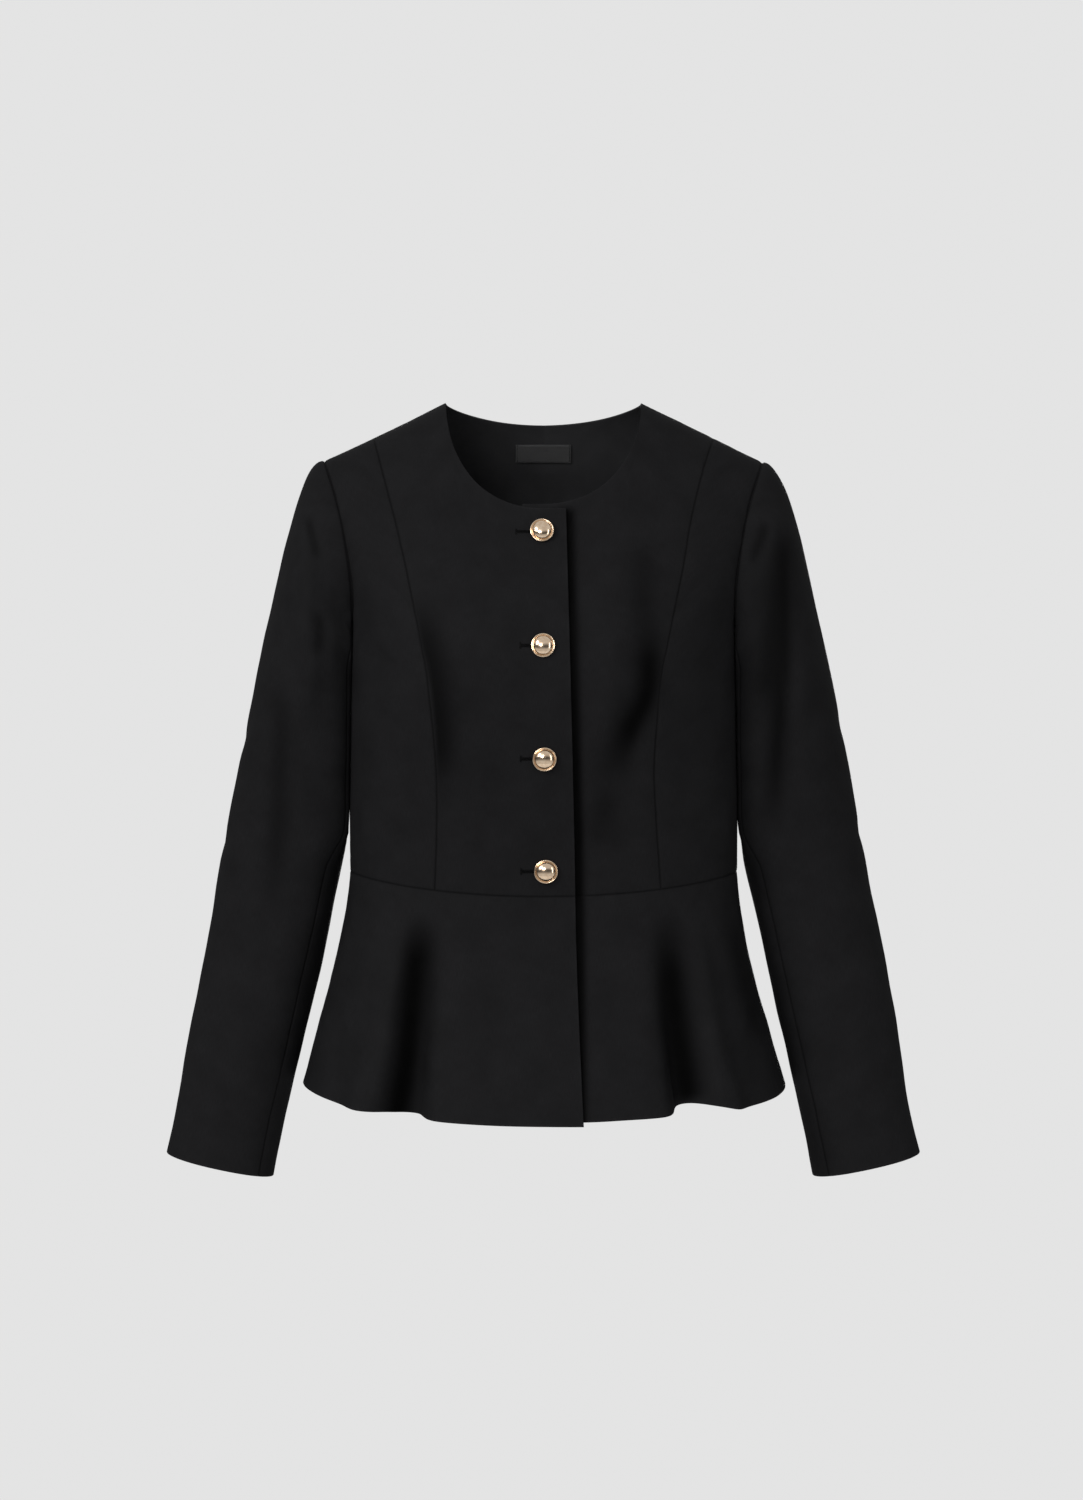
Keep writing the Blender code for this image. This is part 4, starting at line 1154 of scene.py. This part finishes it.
button = {
    "radius": 10 * mm, "dome": 8.1, "domeBase": 1.7, "domeHeight": 4.5, "domeSteps": 18, "turns": 96,
    "tilt": 0.6,  # a button on its shank leans less than the cloth behind it
    "gap": 0.45 * mm,
    "rim": (
        (8.22, 1.42), (8.32, 1.3), (8.5, 1.3), (8.62, 1.45), (8.8, 1.75), (9.1, 1.95), (9.5, 1.97),
        (9.8, 1.75), (9.98, 1.3), (9.98, 0.6), (9.7, 0.08), (9.4, 0), (2.2, 0),
    ),
}


def seatOnFront(x, z):
    # Turn, point and outward normal of the right front's plain surface, without waves or creases.
    turn = asin(x / float(read(torso, "halfWidth", z)))
    normal = torsoNormal(turn, z)
    return turn, torsoPoint(turn, z), normal if normal[1] < 0 else -normal


def addButton(node, x, z):
    angles = np.linspace(0, pi / 2, button["domeSteps"] + 1)[1:]
    domeHeights = button["domeBase"] + button["domeHeight"] * np.cos(angles)
    profile = np.vstack([np.stack([button["dome"] * np.sin(angles), domeHeights], -1), button["rim"]]) * mm
    radii, heights = profile[:, :1], profile[:, 1:]
    turns = np.linspace(0, 2 * pi, button["turns"], endpoint=False)
    rings = np.stack([radii * np.cos(turns), radii * np.sin(turns), heights + 0 * turns], -1).reshape(-1, 3)
    turn, seat, surface = seatOnFront(x, z)
    normal = np.array(Vector((surface[0], surface[1], surface[2] * button["tilt"])).normalized())
    reach = button["radius"] / read(torso, "halfWidth", z)
    under = torsoPoint(turn + reach * np.cos(turns), z + button["radius"] * np.sin(turns))
    rise = max(float(np.max((under - seat) @ normal)), 0.0) + button["gap"]
    turned = np.array(Vector((0, 0, 1)).rotation_difference(Vector(normal)).to_matrix())
    rings = rings @ turned.T + seat + normal * rise
    shank = rings[-button["turns"]:]
    foot = shank - normal * ((shank - seat) @ surface / (normal @ surface))[:, None]
    rings = np.vstack([rings, foot])
    top = (button["domeBase"] + button["domeHeight"]) * mm
    vertices = np.vstack([rings, seat + normal * (rise + top), seat])
    count = len(rings)
    ring = np.arange(count).reshape(-1, button["turns"])
    after = np.roll(ring, -1, 1)
    faces = [tuple(row) for row in np.stack([ring[:-1], ring[1:], after[1:], after[:-1]], -1).reshape(-1, 4)]
    faces += [(count, a, b) for a, b in zip(ring[0], after[0])]
    faces += [(count + 1, b, a) for a, b in zip(ring[-1], after[-1])]
    wear(makeObject(f"{node}_metal", vertices, faces, (gold,), sharp=60), node)


for number, (x, z) in enumerate(buttonPlaces, start=1):
    addButton(f"button_{number}", x, z)
print("buttons made")


# Hand-worked buttonholes: places and sizes of the stitches in millimetres

thread = {"sides": 8, "points": 6, "tip": 0.55, "belly": 0.45, "tipTurn": 0.12, "cut": 1.4 * mm}
buttonhole = {
    "ends": (-22.4, -18.8, -18.5, -18.2), "underButton": 4, "step": 0.52, "near": 0.22, "far": 1.5,
    "radius": 0.23, "height": 0.30, "riseFrom": 0.30, "sink": 0.04, "lean": 0.08, "uneven": 0.05,
    "unevenFar": 0.12, "barPlaces": (-0.75, -0.3, 0.15), "bar": 3.0, "barHeight": 0.36,
    "barUneven": (0.94, 1.04),
    "slit": 0.34, "slitLift": 0.03, "slitPoints": 30, "seed": 40,
}


def threadTubes(paths, normals, radius):
    # Vertices, faces and cut map of many short threads; paths is threads x points x 3.
    paths = np.asarray(paths)
    runs = unit(np.gradient(paths, axis=1))
    across = unit(np.cross(runs, np.asarray(normals)[:, None]))
    over = np.cross(across, runs)
    count = paths.shape[1]
    turns = np.linspace(0, 2 * pi, thread["sides"], endpoint=False)
    bulge = np.sin(np.linspace(thread["tipTurn"], pi - thread["tipTurn"], count))
    taper = thread["tip"] + thread["belly"] * bulge
    ring = across[:, :, None] * np.cos(turns)[:, None] + over[:, :, None] * np.sin(turns)[:, None]
    vertices = (paths[:, :, None] + ring * (radius * taper)[None, :, None, None]).reshape(-1, 3)
    number = np.arange(len(vertices)).reshape(len(paths), count, thread["sides"])
    after = np.roll(number, -1, 2)
    faces = np.stack([number[:, :-1], after[:, :-1], after[:, 1:], number[:, 1:]], -1).reshape(-1, 4)
    along = np.linspace(0, thread["cut"], count)
    cut = np.stack(np.broadcast_arrays(turns * radius, along[:, None]), -1)
    cut = np.broadcast_to(cut, (len(paths),) + cut.shape).reshape(-1, 2)
    return vertices, faces, cut


def sewThreads(name, vertices, faces, cut, shade):
    piece = makeObject(name, vertices, faces, (threadSilk,), cut, {"shade": shade})
    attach(piece, "root")


def onFace(x, z, up, height):
    # Points on the dressed front at distances up from the slit and over the cloth, in millimetres.
    turn = np.arcsin(x * mm / read(torso, "halfWidth", z))
    points, normals = bodyFace(turn, z + 0 * turn)
    rise = unit(np.array([0, 0, 1.0]) - normals * normals[..., 2:])
    lift = normals * (np.asarray(height) * mm)[..., None]
    return points + rise * (np.asarray(up) * mm)[..., None] + lift, normals


def addButtonhole(number, z, start, end):
    random = np.random.default_rng(buttonhole["seed"] + number)
    sizes = buttonhole
    steps = np.arange(start, end, sizes["step"])
    shares = np.linspace(0, 1, thread["points"])
    across = np.ones(thread["points"])
    arched = sizes["riseFrom"] + (1 - sizes["riseFrom"]) * shares
    arch = sizes["height"] * np.sin(pi * arched) - sizes["sink"]
    barArch = sizes["barHeight"] * np.sin(pi * shares) - sizes["sink"]
    paths = []
    for hand in (-1, 1):
        for x in steps + random.uniform(-sizes["uneven"], sizes["uneven"], len(steps)):
            far = sizes["far"] + random.uniform(-sizes["unevenFar"], sizes["unevenFar"])
            up = hand * (sizes["near"] + (far - sizes["near"]) * shares)
            paths.append(onFace(across * x + sizes["lean"] * hand * shares, z, up, arch))
    for x in start + np.array(sizes["barPlaces"]):
        up = np.linspace(-1, 1, thread["points"]) * sizes["bar"] * random.uniform(*sizes["barUneven"])
        paths.append(onFace(across * x, z, up, barArch))
    points, normals = zip(*paths)
    vertices, faces, cut = threadTubes(points, [rows[0] for rows in normals], sizes["radius"] * mm)
    # The slit: a thin strip over the cloth, all in painted shade, stands in for the dark of the open cut.
    x = np.linspace(start, end, sizes["slitPoints"])
    edges = [onFace(x, z, 0 * x + side * sizes["slit"], 0 * x + sizes["slitLift"])[0] for side in (-1, 1)]
    slitShadeStrip = np.stack(edges, 1).reshape(-1, 3)
    first = len(vertices) + 2 * np.arange(sizes["slitPoints"] - 1)
    slitShadeFaces = np.stack([first, first + 2, first + 3, first + 1], -1)
    sewThreads(
        f"buttonhole_{number}", np.vstack([vertices, slitShadeStrip]), np.vstack([faces, slitShadeFaces]),
        np.vstack([cut, slitShadeStrip[:, (0, 2)]]), np.concatenate([np.zeros(len(vertices)), np.ones(len(slitShadeStrip))]),
    )


for number, ((x, z), start) in enumerate(zip(buttonPlaces, buttonhole["ends"]), start=1):
    addButtonhole(number, z, start, x / mm - buttonhole["underButton"])
print("buttonholes made")


# Neck label, a bare woven tape sewn to the inside of the back, and its stitches in millimetres

label = {
    "halfWidth": 23.8 * mm, "top": -31.2 * mm, "bottom": -46.6 * mm, "thickness": 1.0 * mm, "gap": 0.8 * mm,
    "columns": 44, "rows": 18, "sag": 0.25 * mm, "sagTurns": 2.2, "sagStart": 0.6, "sagDown": 16 * mm,
}
labelStitch = {"inset": 1.5, "margin": 1.2, "length": 1.9, "step": 2.5, "radius": 0.16, "lift": 0.12}


def labelFace(x, z, depth):
    # Point at a depth inside the dressed back's outer face, and the normal towards the wearer.
    turn = pi - np.arcsin(x / read(torso, "halfWidth", z))
    points, normals = bodyFace(turn, z)
    return points - normals * (depth + 0 * turn)[..., None], -normals


def addLabel():
    low, high, halfWidth = label["bottom"], label["top"], label["halfWidth"]
    acrossLabel = np.linspace(halfWidth, -halfWidth, label["columns"] + 1)
    x, z = np.meshgrid(acrossLabel, np.linspace(low, high, label["rows"] + 1))
    depth = wallThickness + label["gap"] + label["thickness"]
    sag = label["sag"] * np.sin(x / halfWidth * label["sagTurns"] + label["sagStart"])
    sag = sag * np.sin((z - low) / label["sagDown"] * pi)
    points, normals = labelFace(x, z, depth - sag)
    free = {"low": 0, "high": 0, "left": 0, "right": 0}
    piece = clothShell(
        "neck_label_tape", points, normals, free, (), (labelSatin,),
        thickness=label["thickness"], waves=False,
    )
    wear(piece, "neck_label")
    shares = np.linspace(0, 1, thread["points"])
    lift = labelStitch["lift"] * np.sin(pi * shares)
    margin = labelStitch["margin"]
    paths = []
    for hand in (-1, 1):
        across = hand * (halfWidth / mm - labelStitch["inset"]) + 0 * shares
        for up in np.arange(low / mm + margin, high / mm - margin, labelStitch["step"]):
            height = up + labelStitch["length"] * shares
            paths.append(labelFace(across * mm, height * mm, depth + lift * mm))
    points, normals = zip(*paths)
    radius = labelStitch["radius"] * mm
    vertices, faces, cut = threadTubes(points, [rows[0] for rows in normals], radius)
    sewThreads("neck_label_stitches", vertices, faces, cut, np.zeros(len(vertices)))


addLabel()
print("label made")


# Camera, floor and light, in metres and watts

photoCamera = {"height": 36, "lens": 171.4, "place": (-1.68 * mm, -6.0, -291.5 * mm)}
studioFloor = {
    "radius": 1.2, "level": -1.3, "corners": 96, "speckle": 60.0,
    "dark": (0.72, 0.72, 0.72), "light": (0.76, 0.76, 0.76), "roughness": 0.9,
}
backdrop = {"colour": (0.775, 0.775, 0.775, 1), "light": (0.08, 0.75), "between": (0.095, 0.39)}
lightTarget = (0, 0, -0.3)
studioLights = {  # place, width and height, power
    "key_light": ((-2.9, -2.6, 1.6), (1.6, 1.6), 80),
    "front_light": ((-1.5, -5.1, 0.9), (1.7, 1.3), 86),
    "side_panel": ((2.6, -1.9, 0.0), (0.7, 2.2), 15),
    "back_light": ((0.2, 5.2, 0.3), (2.0, 1.6), 130),
}


def placeThing(name, data, spot, angles=(0, 0, 0)):
    thing = bpy.data.objects.new(name, data)
    thing.location = spot
    thing.rotation_euler = angles
    bpy.context.scene.collection.objects.link(thing)
    return thing


def addCamera():
    data = bpy.data.cameras.new("photo_camera")
    data.sensor_fit = "VERTICAL"
    data.sensor_height = photoCamera["height"]
    data.lens = photoCamera["lens"]
    bpy.context.scene.camera = placeThing("photo_camera", data, photoCamera["place"], (pi / 2, 0, 0))


def addFloor():
    turns = [2 * pi * k / studioFloor["corners"] for k in range(studioFloor["corners"])]
    radius, level = studioFloor["radius"], studioFloor["level"]
    mesh = bpy.data.meshes.new("studio_floor")
    ring = [(radius * cos(turn), radius * sin(turn), level) for turn in turns]
    mesh.from_pydata(ring, [], [tuple(range(len(ring)))])
    material, tree, shader = newMaterial("floor_paint")
    spot = addNode(tree, "ShaderNodeTexCoord").outputs["Object"]
    speckle = noiseNode(tree, spot, studioFloor["speckle"])
    paint = mixColour(tree, speckle, studioFloor["dark"], studioFloor["light"])
    tree.links.new(paint, shader.inputs["Base Color"])
    shader.inputs["Roughness"].default_value = studioFloor["roughness"]
    mesh.materials.append(material)
    placeThing("studio_floor", mesh, (0, 0, 0))


def addAreaLight(name, spot, size, power):
    data = bpy.data.lights.new(name, "AREA")
    data.shape = "RECTANGLE"
    data.size, data.size_y = size
    data.energy = power
    angles = (Vector(lightTarget) - Vector(spot)).to_track_quat("-Z", "Y").to_euler()
    placeThing(name, data, spot, angles).visible_camera = False


def addWorld():
    # Pale to the camera. Its light on the jacket comes more from above and below than from the level.
    world = bpy.data.worlds.new("studio_backdrop")
    world.use_nodes = True
    tree = world.node_tree
    shader = tree.nodes["Background"]
    shader.inputs["Color"].default_value = backdrop["colour"]
    parts = addNode(tree, "ShaderNodeSeparateXYZ")
    tree.links.new(addNode(tree, "ShaderNodeTexCoord").outputs["Generated"], parts.inputs[0])
    steep = mathNode(tree, "ABSOLUTE", parts.outputs["Z"])
    level = mapRange(tree, steep, *backdrop["light"], *backdrop["between"])
    seen = addNode(tree, "ShaderNodeLightPath").outputs["Is Camera Ray"]
    tree.links.new(mathNode(tree, "MAXIMUM", level, seen), shader.inputs["Strength"])
    bpy.context.scene.world = world


addCamera()
addFloor()
addWorld()
for name, light in studioLights.items():
    addAreaLight(name, *light)
bpy.context.scene.view_settings.view_transform = "Standard"
print("stage made")
